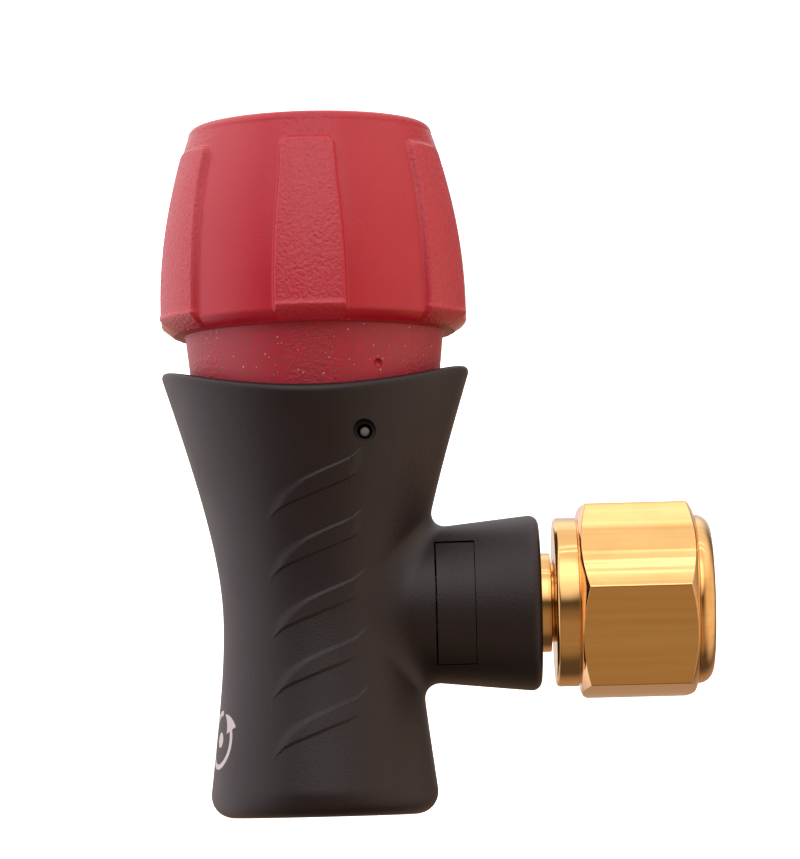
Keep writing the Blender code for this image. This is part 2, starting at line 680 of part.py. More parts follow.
def knob_ring(height, radius, rib):
    """One ring of the knob's outside, with ribs standing rib above the barrel."""
    ring = []
    valley = math.asin(VALLEY_WIDTH / 2 / radius)
    flank = RIB_FLANK / radius
    sector = 2 * math.pi / RIB_COUNT
    rib_half = sector / 2 - valley - flank
    for index in range(RIB_COUNT):
        middle = -math.pi / 2 + index * sector
        for share in (-1, -0.5, 0, 0.5, 1):
            turn = middle + share * rib_half
            reach = radius + rib
            ring.append((reach * math.cos(turn), reach * math.sin(turn), height))
        for share in (-1, -0.5, 0, 0.5, 1):
            turn = middle + sector / 2 + share * valley
            ring.append((radius * math.cos(turn), radius * math.sin(turn), height))
    return ring


def build_knob(material):
    """The ribbed knob with its neck, bored for the insert and the clip."""
    widest = SKIRT_HEIGHT + KNOB_WIDEST
    rib_top = KNOB_TOP - RIB_TOP_SETBACK
    rows = [knob_ring(NECK_BOTTOM, neck_radius(NECK_BOTTOM), 0)]
    rows.append(knob_ring(SKIRT_HEIGHT, NECK_TOP_RADIUS, 0))
    rows.append(knob_ring(SKIRT_HEIGHT, KNOB_UNDERSIDE_RADIUS, RIB_FOOT))
    rows.append(knob_ring(SKIRT_HEIGHT + KNOB_CHAMFER, KNOB_RADIUS - KNOB_CHAMFER_SETBACK, RIB_FOOT))
    for row in range(KNOB_ROWS):
        height = widest + (rib_top - widest) * row / (KNOB_ROWS - 1)
        rows.append(knob_ring(height, knob_radius(height), RIB_HEIGHT))
    rows.append(knob_ring(rib_top + RIB_FLANK, knob_radius(rib_top + RIB_FLANK), 0))
    edge = KNOB_TOP - KNOB_TOP_ROUND
    middle = (knob_radius(edge) - KNOB_TOP_ROUND, edge)
    for radius, height in arc(middle, KNOB_TOP_ROUND, 0, 90):
        rows.append(knob_ring(height, radius, 0))
    knob = add_object("knob", rows_mesh("knob", rows), material)
    room = INSERT_RADIUS + GAP
    ceiling = WEB_TOP + GAP
    pocket = [
        (0, NECK_BOTTOM - OVERCUT),
        (room, NECK_BOTTOM - OVERCUT),
        (room, ceiling),
        (CLIP_ROOM_RADIUS, ceiling),
        (CLIP_ROOM_RADIUS, ceiling + CLIP_ROOM),
        (0, ceiling + CLIP_ROOM),
    ]
    combine(knob, on_body("knob_pocket", pocket), "DIFFERENCE")


def build_stem(material, rubber):
    """The outlet stem: spigot, key groove, shoulder and the nose that carries the chuck."""
    ring_x = (SPIGOT_START + SHOULDER_X) / 2
    ring_mid = SPIGOT_BORE_RADIUS - SEAL_GAP - O_RING_SECTION / 2
    spigot_groove = ring_mid - O_RING_SECTION / 2 - SEAL_GAP
    half_groove = O_RING_SECTION / 2 + SEAL_GAP
    key_half = PRONG_WIDTH / 2 + SEAL_GAP
    snap_low = CHUCK_START + SNAP_SETBACK
    snap_high = snap_low + SNAP_WIDTH
    snap_groove = NOSE_RADIUS - SNAP_BITE - SEAL_GAP
    swivel_x = CHUCK_START + SWIVEL_RING_SETBACK
    swivel_mid = CHUCK_BORE_RADIUS - SEAL_GAP - O_RING_SECTION / 2
    swivel_groove = swivel_mid - O_RING_SECTION / 2 - SEAL_GAP
    outline = [
        (STEM_BORE_RADIUS, SPIGOT_START),
        (SPIGOT_RADIUS, SPIGOT_START),
        (SPIGOT_RADIUS, ring_x - half_groove),
        (spigot_groove, ring_x - half_groove),
        (spigot_groove, ring_x + half_groove),
        (SPIGOT_RADIUS, ring_x + half_groove),
        (SPIGOT_RADIUS, SHOULDER_X),
        (STEM_RADIUS, SHOULDER_X),
        (STEM_RADIUS, KEY_X - key_half),
        (KEY_GROOVE_RADIUS, KEY_X - key_half),
        (KEY_GROOVE_RADIUS, KEY_X + key_half),
        (STEM_RADIUS, KEY_X + key_half),
        (STEM_RADIUS, NOSE_START),
        (NOSE_RADIUS, NOSE_START),
        (NOSE_RADIUS, snap_low - SEAL_GAP),
        (snap_groove, snap_low - SEAL_GAP),
        (snap_groove, snap_high + SEAL_GAP),
        (NOSE_RADIUS, snap_high + SEAL_GAP),
        (NOSE_RADIUS, swivel_x - half_groove),
        (swivel_groove, swivel_x - half_groove),
        (swivel_groove, swivel_x + half_groove),
        (NOSE_RADIUS, swivel_x + half_groove),
        (NOSE_RADIUS, NOSE_END),
        (NOSE_BORE_RADIUS, NOSE_END),
        (NOSE_BORE_RADIUS, NOSE_END - NOSE_BORE_DEPTH),
        (STEM_BORE_RADIUS, NOSE_END - NOSE_BORE_DEPTH),
    ]
    along_arm("outlet_stem", outline, material)
    along_arm("stem_o_ring", o_ring_outline(ring_mid, ring_x), rubber, SMALL_STEPS)
    along_arm("swivel_o_ring", o_ring_outline(swivel_mid, swivel_x), rubber, SMALL_STEPS)


def build_key(material):
    """The U-shaped key: a plate flush with the arm and two prongs in the stem's groove."""
    half = KEY_WIDTH / 2
    outline = cylinder_outline(0, KEY_X - half, KEY_X + half)
    outline[1] = (arm_radius(KEY_X - half), KEY_X - half)
    outline[2] = (arm_radius(KEY_X + half), KEY_X + half)
    key = along_arm("stem_key", outline, material, BODY_STEPS)
    reach = arm_radius(ARM_REACH) + OVERCUT
    low = (0, -reach, ARM_HEIGHT - KEY_HALF_HEIGHT)
    high = (ARM_REACH, -KEY_DEPTH, ARM_HEIGHT + KEY_HALF_HEIGHT)
    combine(key, add_object("key_plate", box_mesh("key_plate", low, high)), "INTERSECT")
    room = cylinder_outline(ARM_BORE_RADIUS, 0, ARM_REACH)
    combine(key, along_arm("key_room", room), "DIFFERENCE")
    root = math.sqrt(ARM_BORE_RADIUS**2 - PRONG_INNER**2) + PRONG_ROOT
    for side in (-1, 1):
        low = (KEY_X - PRONG_WIDTH / 2, -root, 0)
        high = (KEY_X + PRONG_WIDTH / 2, PRONG_REACH, PRONG_OUTER - PRONG_INNER)
        name = "key_prong_upper" if side > 0 else "key_prong_lower"
        place = (0, 0, ARM_HEIGHT + (PRONG_INNER if side > 0 else -PRONG_OUTER))
        combine(key, add_object(name, box_mesh(name, low, high), None, place), "UNION")


def build_chuck(material, steel, rubber):
    """The hexagonal chuck, its snap ring and its face seal."""
    corner = math.radians(HEX_CORNER_ANGLE)
    circle = HEX_ACROSS_FLATS / 2 / math.cos(math.pi / 6)
    rows = []
    for reach in (HEX_START, HEX_END):
        ring = []
        for index in range(6):
            turn = corner + index * math.pi / 3
            ring.append((-circle * math.sin(turn), -circle * math.cos(turn), reach))
        rows.append(ring)
    place, turn = (0, 0, ARM_HEIGHT), (0, math.pi / 2, 0)
    chuck = add_object("chuck_shell", rows_mesh("chuck_shell", rows), material, place, turn)

    slope = (circle - HEX_CHAMFER_RADIUS) / HEX_CHAMFER_RUN
    narrow = HEX_CHAMFER_RADIUS - OVERCUT * slope
    wide = circle + GAP
    rise = (wide - HEX_CHAMFER_RADIUS) / slope
    chamfer = [
        (0, HEX_START - OVERCUT),
        (narrow, HEX_START - OVERCUT),
        (wide, HEX_START + rise),
        (wide, HEX_END - rise),
        (narrow, HEX_END + OVERCUT),
        (0, HEX_END + OVERCUT),
    ]
    combine(chuck, along_arm("hex_chamfer", chamfer, steps=BODY_STEPS), "INTERSECT")

    collars = [(0, CHUCK_START), (COLLAR_RADIUS - COLLAR_CHAMFER, CHUCK_START)]
    collars.append((COLLAR_RADIUS, CHUCK_START + COLLAR_CHAMFER))
    round_middle = (COLLAR_RADIUS - MOUTH_ROUND, CHUCK_END - MOUTH_ROUND)
    collars += arc(round_middle, MOUTH_ROUND, 0, 90)
    collars.append((0, CHUCK_END))
    combine(chuck, along_arm("chuck_collars", collars, steps=BODY_STEPS), "UNION")

    snap_low = CHUCK_START + SNAP_SETBACK
    snap_high = snap_low + SNAP_WIDTH
    snap_room = CHUCK_BORE_RADIUS + SNAP_BITE + SEAL_GAP
    bore = [
        (0, CHUCK_START - OVERCUT),
        (CHUCK_BORE_RADIUS, CHUCK_START - OVERCUT),
        (CHUCK_BORE_RADIUS, snap_low - SEAL_GAP),
        (snap_room, snap_low - SEAL_GAP),
        (snap_room, snap_high + SEAL_GAP),
        (CHUCK_BORE_RADIUS, snap_high + SEAL_GAP),
        (CHUCK_BORE_RADIUS, NOSE_END),
        (MOUTH_RADIUS, NOSE_END),
        (MOUTH_RADIUS, CHUCK_END - MOUTH_CHAMFER),
        (MOUTH_RADIUS + MOUTH_CHAMFER + OVERCUT, CHUCK_END + OVERCUT),
        (0, CHUCK_END + OVERCUT),
    ]
    combine(chuck, along_arm("chuck_bore", bore), "DIFFERENCE")

    inner = NOSE_RADIUS - SNAP_BITE
    outer = CHUCK_BORE_RADIUS + SNAP_BITE
    snap = split_ring("chuck_snap_ring", inner, outer, snap_low, snap_high, SNAP_MOUTH, steel)
    helper = bpy.data.objects["chuck_snap_ring_gap"]
    for obj in (snap, helper):
        obj.location = place
        obj.rotation_euler = turn
    seal = tube_outline(
        SEAL_HOLE_RADIUS, MOUTH_RADIUS - GAP, CHUCK_SEAL_START, CHUCK_SEAL_END, SEAL_CHAMFER)
    along_arm("chuck_seal", seal, rubber)


def build_depressor(brass, steel):
    """The sprung pin that pushes the tyre valve's core open."""
    flange = NOSE_BORE_RADIUS - GAP
    tail = DEPRESSOR_FLANGE_START - DEPRESSOR_TAIL
    tip = CHUCK_SEAL_END + DEPRESSOR_REACH
    outline = [
        (0, tail),
        (DEPRESSOR_RADIUS, tail),
        (DEPRESSOR_RADIUS, DEPRESSOR_FLANGE_START),
        (flange, DEPRESSOR_FLANGE_START),
        (flange, DEPRESSOR_FLANGE_END),
        (DEPRESSOR_RADIUS, DEPRESSOR_FLANGE_END),
        (DEPRESSOR_RADIUS, tip),
        (0, tip),
    ]
    along_arm("core_depressor", outline, brass, SMALL_STEPS)
    middle = (DEPRESSOR_RADIUS + flange) / 2 + SEAL_GAP
    low = NOSE_END - NOSE_BORE_DEPTH + GAP
    high = DEPRESSOR_FLANGE_START - SEAL_GAP
    spring = coil_spring(
        "depressor_spring", middle, DEPRESSOR_WIRE, low, high, DEPRESSOR_TURNS, steel)
    spring.location = (0, 0, ARM_HEIGHT)
    spring.rotation_euler = (0, math.pi / 2, 0)


def build_return_spring(material):
    """The spring that takes up the play of the knob's thread."""
    middle = (MAIN_BORE_RADIUS + SPRING_BORE_RADIUS) / 2 - RETURN_SPRING_INSET
    low, high = SPRING_FLOOR + GAP, SPRING_TOP
    coil_spring("return_spring", middle, RETURN_WIRE, low, high, RETURN_TURNS, material)


def main():
    """Makes every piece in its place."""
    clear_scene()
    black = make_material("black_moulded_nylon", (46, 38, 36), 0.45)
    red = make_material("red_moulded_nylon", (196, 62, 74), 0.42)
    gold = make_material("gold_anodised_aluminium", (226, 170, 90), 0.12, 1.0)
    brass = make_material("turned_brass", (200, 168, 96), 0.3, 1.0)
    steel = make_material("spring_steel", (150, 150, 152), 0.3, 1.0)
    rubber = make_material("nitrile_rubber", (28, 27, 27), 0.6)
    nylon = make_material("natural_nylon", (222, 218, 205), 0.5)
    bronze = make_material("sintered_bronze", (150, 112, 62), 0.8, 1.0)
    build_shell(black)
    build_block(brass)
    build_pin(steel)
    build_needle(steel)
    build_seals(rubber, nylon, bronze)
    build_return_spring(steel)
    build_plunger(steel, rubber)
    build_plunger_clip(steel, nylon)
    build_stop_ring(steel)
    build_insert(brass)
    build_knob(red)
    build_stem(gold, rubber)
    build_key(black)
    build_chuck(gold, steel, rubber)
    build_depressor(brass, steel)


if __name__ == "__main__":
    main()
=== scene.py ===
"""Looks of the cartridge tyre inflator head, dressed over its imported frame.

Lengths inside the classes are millimetres; a piece is turned to metres when it is placed.
"""

import logging
import math
from collections.abc import Callable, Iterable, Sequence
from dataclasses import dataclass, field
from enum import Enum

import bmesh
import bpy
import numpy as np
from mathutils import Euler, Matrix, Vector


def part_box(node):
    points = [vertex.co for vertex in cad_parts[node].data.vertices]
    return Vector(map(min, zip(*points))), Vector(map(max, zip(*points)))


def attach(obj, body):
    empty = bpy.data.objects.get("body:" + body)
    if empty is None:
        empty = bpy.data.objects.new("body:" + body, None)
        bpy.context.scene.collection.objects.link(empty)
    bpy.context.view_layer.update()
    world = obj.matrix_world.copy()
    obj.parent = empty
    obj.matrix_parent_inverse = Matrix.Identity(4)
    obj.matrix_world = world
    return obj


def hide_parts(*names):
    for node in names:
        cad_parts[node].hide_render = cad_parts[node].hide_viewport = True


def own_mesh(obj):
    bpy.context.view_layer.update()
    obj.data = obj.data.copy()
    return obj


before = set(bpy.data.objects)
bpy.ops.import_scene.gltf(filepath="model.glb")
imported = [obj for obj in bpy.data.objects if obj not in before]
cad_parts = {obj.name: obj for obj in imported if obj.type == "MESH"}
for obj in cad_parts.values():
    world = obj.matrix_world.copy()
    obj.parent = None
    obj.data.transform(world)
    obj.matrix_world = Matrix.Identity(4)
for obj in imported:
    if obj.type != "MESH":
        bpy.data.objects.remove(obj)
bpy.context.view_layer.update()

MM = 0.001
LOG = logging.getLogger("inflator")

Point = tuple[float, float]
Outline = list[Point]

# The axes of the arm and of the locking pin, which several sub-assemblies share.
ARM_HEIGHT = 16.8
PIN_PLACE: Point = (4.0, 30.4)
# A length too short to see, which tells a point on the axis from one beside it.
TINY = 1e-6


class Body(Enum):
    """The rigid bodies that the fine pieces ride on."""

    HOUSING = "housing"
    KNOB = "knob"
    CHUCK = "chuck"
    DEPRESSOR = "depressor"


class Slot(Enum):
    """The record's material slots that the fine pieces use."""

    GRIP = "grip_plastic"
    KNOB = "knob_plastic"
    GOLD = "gold_aluminium"
    BRASS = "brass"
    STEEL = "spring_steel"
    RUBBER = "rubber"


class Axis(Enum):
    """The two axes that pieces are turned about."""

    UPRIGHT = "upright"
    ARM = "arm"


class Cut(Enum):
    """How one solid is combined with another."""

    ADD = "UNION"
    REMOVE = "DIFFERENCE"
    KEEP = "INTERSECT"


# ---------------------------------------------------------------- materials


def linear(colour: str) -> tuple[float, float, float, float]:
    """Turns an sRGB hex colour into a linear one.

    Args:
        colour: six hex digits after a hash sign.

    Returns:
        Red, green, blue and an alpha of 1.
    """
    parts = [int(colour[i : i + 2], 16) / 255 for i in (1, 3, 5)]
    red, green, blue = (
        c / 12.92 if c <= 0.04045 else ((c + 0.055) / 1.055) ** 2.4 for c in parts
    )
    return red, green, blue, 1.0


def per_mm(size: float) -> float:
    """The scale that gives a pattern features of this many millimetres."""
    return 1 / (size * MM)


def set_inputs(
    tree: bpy.types.NodeTree, node: bpy.types.Node, inputs: dict[str | int, object]
) -> None:
    """Sets or links inputs of a node.

    Args:
        tree: the node tree.
        node: the node.
        inputs: a value or an output socket for each input, by name or number.
    """
    for name, value in inputs.items():
        if isinstance(value, bpy.types.NodeSocket):
            tree.links.new(value, node.inputs[name])
        else:
            node.inputs[name].default_value = value


def add_node(
    tree: bpy.types.NodeTree,
    kind: str,
    settings: dict[str, object] | None = None,
    inputs: dict[str | int, object] | None = None,
) -> bpy.types.Node:
    """Adds a shader node with its settings, values and links.

    Args:
        tree: the node tree to add to.
        kind: the node's Blender type name.
        settings: attributes of the node.
        inputs: a value or an output socket for each input, by name or number.

    Returns:
        The new node.
    """
    node = tree.nodes.new(kind)
    for name, value in (settings or {}).items():
        setattr(node, name, value)
    set_inputs(tree, node, inputs or {})
    return node


def start_material(name: str) -> tuple[bpy.types.Material, bpy.types.NodeTree, bpy.types.Node]:
    """Makes a material with only its Principled shader and output.

    Args:
        name: the material's name.

    Returns:
        The material, its node tree and its Principled node.
    """
    material = bpy.data.materials.new(name)
    material.use_nodes = True
    tree = material.node_tree
    return material, tree, tree.nodes["Principled BSDF"]


@dataclass(frozen=True)
class TurnMark:
    """A generic pad-printed mark: an open ring with an arrow head, round a dot."""

    turn: float = 198.0
    height_mm: float = 6.3
    body_radius_mm: float = 8.9
    ring_mm: float = 2.15
    line_mm: float = 0.21
    head_mm: float = 0.8
    dot_mm: float = 0.62
    gap: tuple[float, float] = (0.35, 1.25)
    rest: float = 0.25
    colour: str = "#cbc6c4"

    def mask(self, tree: bpy.types.NodeTree, place: bpy.types.NodeSocket) -> bpy.types.NodeSocket:
        """Where the ink is, on the grip's side.

        Args:
            tree: the node tree.
            place: the grip's own coordinates.

        Returns:
            1 on the ink, 0 beside it.
        """
        centred = add_node(
            tree,
            "ShaderNodeVectorRotate",
            {"rotation_type": "Z_AXIS"},
            {"Vector": place, "Angle": -math.radians(self.turn)},
        ).outputs[0]
        split = add_node(tree, "ShaderNodeSeparateXYZ", inputs={0: centred})
        bearing = add_node(
            tree,
            "ShaderNodeMath",
            {"operation": "ARCTAN2"},
            {0: split.outputs["Y"], 1: split.outputs["X"]},
        )
        across = add_node(
            tree,
            "ShaderNodeMath",
            {"operation": "MULTIPLY"},
            {0: bearing.outputs[0], 1: self.body_radius_mm * MM},
        ).outputs[0]
        up = add_node(
            tree,
            "ShaderNodeMath",
            {"operation": "SUBTRACT"},
            {0: split.outputs["Z"], 1: self.height_mm * MM},
        ).outputs[0]
        flat = add_node(tree, "ShaderNodeCombineXYZ", inputs={0: across, 1: up})
        reach = add_node(
            tree, "ShaderNodeVectorMath", {"operation": "LENGTH"}, {0: flat.outputs[0]}
        ).outputs["Value"]
        past = add_node(
            tree, "ShaderNodeMath", {"operation": "SUBTRACT"}, {0: reach, 1: self.ring_mm * MM}
        )
        off = add_node(
            tree, "ShaderNodeMath", {"operation": "ABSOLUTE"}, {0: past.outputs[0]}
        )
        turn = add_node(
            tree, "ShaderNodeMath", {"operation": "ARCTAN2"}, {0: up, 1: across}
        ).outputs[0]
        # The line is widest at the arrow head's back and runs out at its tip.
        width = add_node(
            tree,
            "ShaderNodeMapRange",
            inputs={
                "Value": turn,
                "From Min": self.gap[0],
                "From Max": self.gap[1],
                "To Min": self.head_mm * MM,
                "To Max": 0.0,
            },
        ).outputs["Result"]
        # Before the head, and again past the gap, the ring has its own even line.
        before, beyond = 2, 3
        for limit, plain, other in (
            (self.gap[0], before, beyond),
            (self.gap[1] + self.rest, beyond, before),
        ):
            after = add_node(
                tree, "ShaderNodeMath", {"operation": "GREATER_THAN"}, {0: turn, 1: limit}
            )
            width = add_node(
                tree,
                "ShaderNodeMix",
                {"data_type": "FLOAT"},
                {"Factor": after.outputs[0], plain: self.line_mm * MM, other: width},
            ).outputs[0]
        line = add_node(
            tree, "ShaderNodeMath", {"operation": "LESS_THAN"}, {0: off.outputs[0], 1: width}
        )
        dot = add_node(
            tree, "ShaderNodeMath", {"operation": "LESS_THAN"}, {0: reach, 1: self.dot_mm * MM}
        )
        return add_node(
            tree,
            "ShaderNodeMath",
            {"operation": "MAXIMUM"},
            {0: line.outputs[0], 1: dot.outputs[0]},
        ).outputs[0]


@dataclass(frozen=True)
class GrainedNylon:
    """Nylon moulded in a spark-eroded tool: a satin skin with a fine even grain."""

    name: str = "black_moulded_nylon"
    colour: str = "#1a0f12"
    worn_colour: str = "#211518"
    roughness: float = 0.45
    ior: float = 1.5
    grain_mm: float = 0.16
    blotch_mm: float = 5.0
    grain_depth_mm: float = 0.018
    gloss_change: tuple[float, float] = (-0.03, 0.04)
    mark: TurnMark | None = None

    def build(self) -> bpy.types.Material:
        """Makes the material.

        Returns:
            The material.
        """
        material, tree, shader = start_material(self.name)
        place = add_node(tree, "ShaderNodeTexCoord").outputs["Object"]
        # Flow of the melt leaves slow changes of tone and gloss.
        blotch = add_node(
            tree,
            "ShaderNodeTexNoise",
            inputs={"Vector": place, "Scale": per_mm(self.blotch_mm), "Detail": 3.0},
        ).outputs["Fac"]
        tone = add_node(
            tree,
            "ShaderNodeMix",
            {"data_type": "RGBA"},
            {"Factor": blotch, 6: linear(self.colour), 7: linear(self.worn_colour)},
        )
        # The eroded grain is finer than this on the real part; it is drawn as coarse as it shows.
        grain = add_node(
            tree,
            "ShaderNodeTexNoise",
            inputs={"Vector": place, "Scale": per_mm(self.grain_mm), "Detail": 2.0},
        ).outputs["Fac"]
        gloss = add_node(
            tree,
            "ShaderNodeMapRange",
            inputs={
                "Value": blotch,
                "From Min": 0.3,
                "From Max": 0.7,
                "To Min": self.roughness + self.gloss_change[0],
                "To Max": self.roughness + self.gloss_change[1],
            },
        )
        bump = add_node(
            tree,
            "ShaderNodeBump",
            inputs={"Height": grain, "Distance": self.grain_depth_mm * MM, "Strength": 1.0},
        )
        colour = tone.outputs[2]
        if self.mark:
            colour = add_node(
                tree,
                "ShaderNodeMix",
                {"data_type": "RGBA"},
                {
                    "Factor": self.mark.mask(tree, place),
                    6: colour,
                    7: linear(self.mark.colour),
                },
            ).outputs[2]
        set_inputs(
            tree,
            shader,
            {
                "Base Color": colour,
                "Roughness": gloss.outputs["Result"],
                "Normal": bump.outputs["Normal"],
                "IOR": self.ior,
            },
        )
        return material


@dataclass(frozen=True)
class OrangePeelNylon:
    """Red nylon: a coarse leathery skin on the ribs with a paler painted sheen, a smoother barrel, a
    dull specked neck.
    """

    name: str = "red_moulded_nylon"
    colour: str = "#bd1a2e"
    pale_colour: str = "#c7273a"
    neck_colour: str = "#b02c3d"
    speck_colour: str = "#e6b0ac"
    roughness: float = 0.25
    neck_roughness: float = 0.42
    ior: float = 1.53
    peel_mm: float = 0.3
    fine_mm: float = 0.14
    peel_depth_mm: float = 0.1
    fine_depth_mm: float = 0.012
    smooth_share: float = 0.15
    flow_mm: float = 4.0
    mottle_mm: float = 0.7
    mottle_range: tuple[float, float] = (0.2, 0.6)
    speck_mm: float = 0.5
    speck_share: float = 0.155
    neck_height_mm: float = 39.15
    ribs: int = 6
    rib_edge: tuple[float, float] = (0.15, 0.45)
    # A paler pink painted on the ribs as a sheen, standing in for the light their glossy skin catches.
    rib_sheen_colour: str = "#d04a58"
    rib_top_mm: float = 54.0
    rib_fade_mm: float = 0.3
    rib_sheen_share: float = 0.3
    scatter: float = 0.15
    scatter_reach: tuple[float, float, float] = (1.0, 0.25, 0.2)
    scatter_mm: float = 0.6

    def rib_mask(
        self, tree: bpy.types.NodeTree, split: bpy.types.Node
    ) -> bpy.types.NodeSocket:
        """Where the ribs are, from the turn round the knob's own axis.

        Args:
            tree: the node tree.
            split: the node that gives X, Y and Z.

        Returns:
            1 on the ribs, 0 between them.
        """
        turn = add_node(
            tree,
            "ShaderNodeMath",
            {"operation": "ARCTAN2"},
            {0: split.outputs["X"], 1: split.outputs["Y"]},
        )
        many = add_node(
            tree, "ShaderNodeMath", {"operation": "MULTIPLY"}, {0: turn.outputs[0], 1: self.ribs}
        )
        wave = add_node(tree, "ShaderNodeMath", {"operation": "COSINE"}, {0: many.outputs[0]})
        return add_node(
            tree,
            "ShaderNodeMapRange",
            {"interpolation_type": "SMOOTHSTEP"},
            {
                "Value": wave.outputs[0],
                "From Min": self.rib_edge[0],
                "From Max": self.rib_edge[1],
                "To Min": 0.0,
                "To Max": 1.0,
            },
        ).outputs["Result"]

    def build(self) -> bpy.types.Material:
        """Makes the material.

        Returns:
            The material.
        """
        material, tree, shader = start_material(self.name)
        place = add_node(tree, "ShaderNodeTexCoord").outputs["Object"]
        split = add_node(tree, "ShaderNodeSeparateXYZ", inputs={0: place})
        on_neck = add_node(
            tree,
            "ShaderNodeMath",
            {"operation": "LESS_THAN"},
            {0: split.outputs["Z"], 1: self.neck_height_mm * MM},
        ).outputs[0]
        flow = add_node(
            tree,
            "ShaderNodeTexNoise",
            inputs={"Vector": place, "Scale": per_mm(self.flow_mm), "Detail": 4.0},
        ).outputs["Fac"]
        tone = add_node(
            tree,
            "ShaderNodeMix",
            {"data_type": "RGBA"},
            {"Factor": flow, 6: linear(self.colour), 7: linear(self.pale_colour)},
        )
        # The neck was moulded against a rougher core, so it is duller and mottled.
        mottle = add_node(
            tree,
            "ShaderNodeTexNoise",
            inputs={"Vector": place, "Scale": per_mm(self.mottle_mm), "Detail": 4.0},
        ).outputs["Fac"]
        dull = add_node(
            tree,
            "ShaderNodeMapRange",
            inputs={
                "Value": mottle,
                "From Min": self.mottle_range[0],
                "From Max": self.mottle_range[1],
                "To Min": 0.0,
                "To Max": on_neck,
            },
        ).outputs["Result"]
        neck_tone = add_node(
            tree,
            "ShaderNodeMix",
            {"data_type": "RGBA"},
            {"Factor": dull, 6: tone.outputs[2], 7: linear(self.neck_colour)},
        )
        # Dust moulded into the neck, as pale points of many sizes.
        cells = add_node(
            tree,
            "ShaderNodeTexVoronoi",
            inputs={"Vector": place, "Scale": per_mm(self.speck_mm), "Randomness": 1.0},
        )
        size = add_node(
            tree,
            "ShaderNodeMath",
            {"operation": "MULTIPLY"},
            {0: cells.outputs["Color"], 1: self.speck_share},
        )
        chosen = add_node(
            tree,
            "ShaderNodeMath",
            {"operation": "LESS_THAN"},
            {0: cells.outputs["Distance"], 1: size.outputs[0]},
        )
        specks = add_node(
            tree,
            "ShaderNodeMath",
            {"operation": "MULTIPLY"},
            {0: chosen.outputs[0], 1: on_neck},
        )
        speckled = add_node(
            tree,
            "ShaderNodeMix",
            {"data_type": "RGBA"},
            {
                "Factor": specks.outputs[0],
                6: neck_tone.outputs[2],
                7: linear(self.speck_colour),
            },
        )
        # The ribs were textured in the tool; the barrel between them was only blasted.
        peel = add_node(
            tree,
            "ShaderNodeTexNoise",
            inputs={
                "Vector": place,
                "Scale": per_mm(self.peel_mm),
                "Detail": 3.0,
                "Distortion": 0.4,
            },
        ).outputs["Fac"]
        fine = add_node(
            tree,
            "ShaderNodeTexNoise",
            inputs={"Vector": place, "Scale": per_mm(self.fine_mm), "Detail": 1.0},
        ).outputs["Fac"]
        rib_mask = self.rib_mask(tree, split)
        strength = add_node(
            tree,
            "ShaderNodeMapRange",
            inputs={"Value": rib_mask, "To Min": self.smooth_share, "To Max": 1.0},
        )
        below_top = add_node(
            tree,
            "ShaderNodeMapRange",
            inputs={
                "Value": split.outputs["Z"],
                "From Min": self.rib_top_mm * MM,
                "From Max": (self.rib_top_mm - self.rib_fade_mm) * MM,
            },
        )
        on_rib = add_node(
            tree,
            "ShaderNodeMath",
            {"operation": "MULTIPLY"},
            {0: rib_mask, 1: below_top.outputs["Result"]},
        )
        # The ribs get a paler pink as a painted sheen, standing in for the light their glossy skin
        # catches; the neck below them is left out.
        sheen_share = add_node(
            tree,
            "ShaderNodeMapRange",
            inputs={"Value": on_neck, "To Min": self.rib_sheen_share, "To Max": 0.0},
        )
        share = add_node(
            tree,
            "ShaderNodeMath",
            {"operation": "MULTIPLY"},
            {0: on_rib.outputs[0], 1: sheen_share.outputs["Result"]},
        )
        painted_sheen_tone = add_node(
            tree,
            "ShaderNodeMix",
            {"data_type": "RGBA"},
            {
                "Factor": share.outputs[0],
                6: speckled.outputs[2],
                7: linear(self.rib_sheen_colour),
            },
        )
        coarse_bump = add_node(
            tree,
            "ShaderNodeBump",
            inputs={
                "Height": peel,
                "Distance": self.peel_depth_mm * MM,
                "Strength": strength.outputs["Result"],
            },
        )
        fine_bump = add_node(
            tree,
            "ShaderNodeBump",
            inputs={
                "Height": fine,
                "Distance": self.fine_depth_mm * MM,
                "Strength": 1.0,
                "Normal": coarse_bump.outputs["Normal"],
            },
        )
        gloss = add_node(
            tree,
            "ShaderNodeMapRange",
            inputs={
                "Value": on_neck,
                "To Min": self.roughness,
                "To Max": self.neck_roughness,
            },
        )
        set_inputs(
            tree,
            shader,
            {
                "Base Color": painted_sheen_tone.outputs[2],
                "Roughness": gloss.outputs["Result"],
                "Normal": fine_bump.outputs["Normal"],
                "IOR": self.ior,
                "Subsurface Weight": self.scatter,
                "Subsurface Radius": self.scatter_reach,
                "Subsurface Scale": self.scatter_mm * MM,
            },
        )
        return material


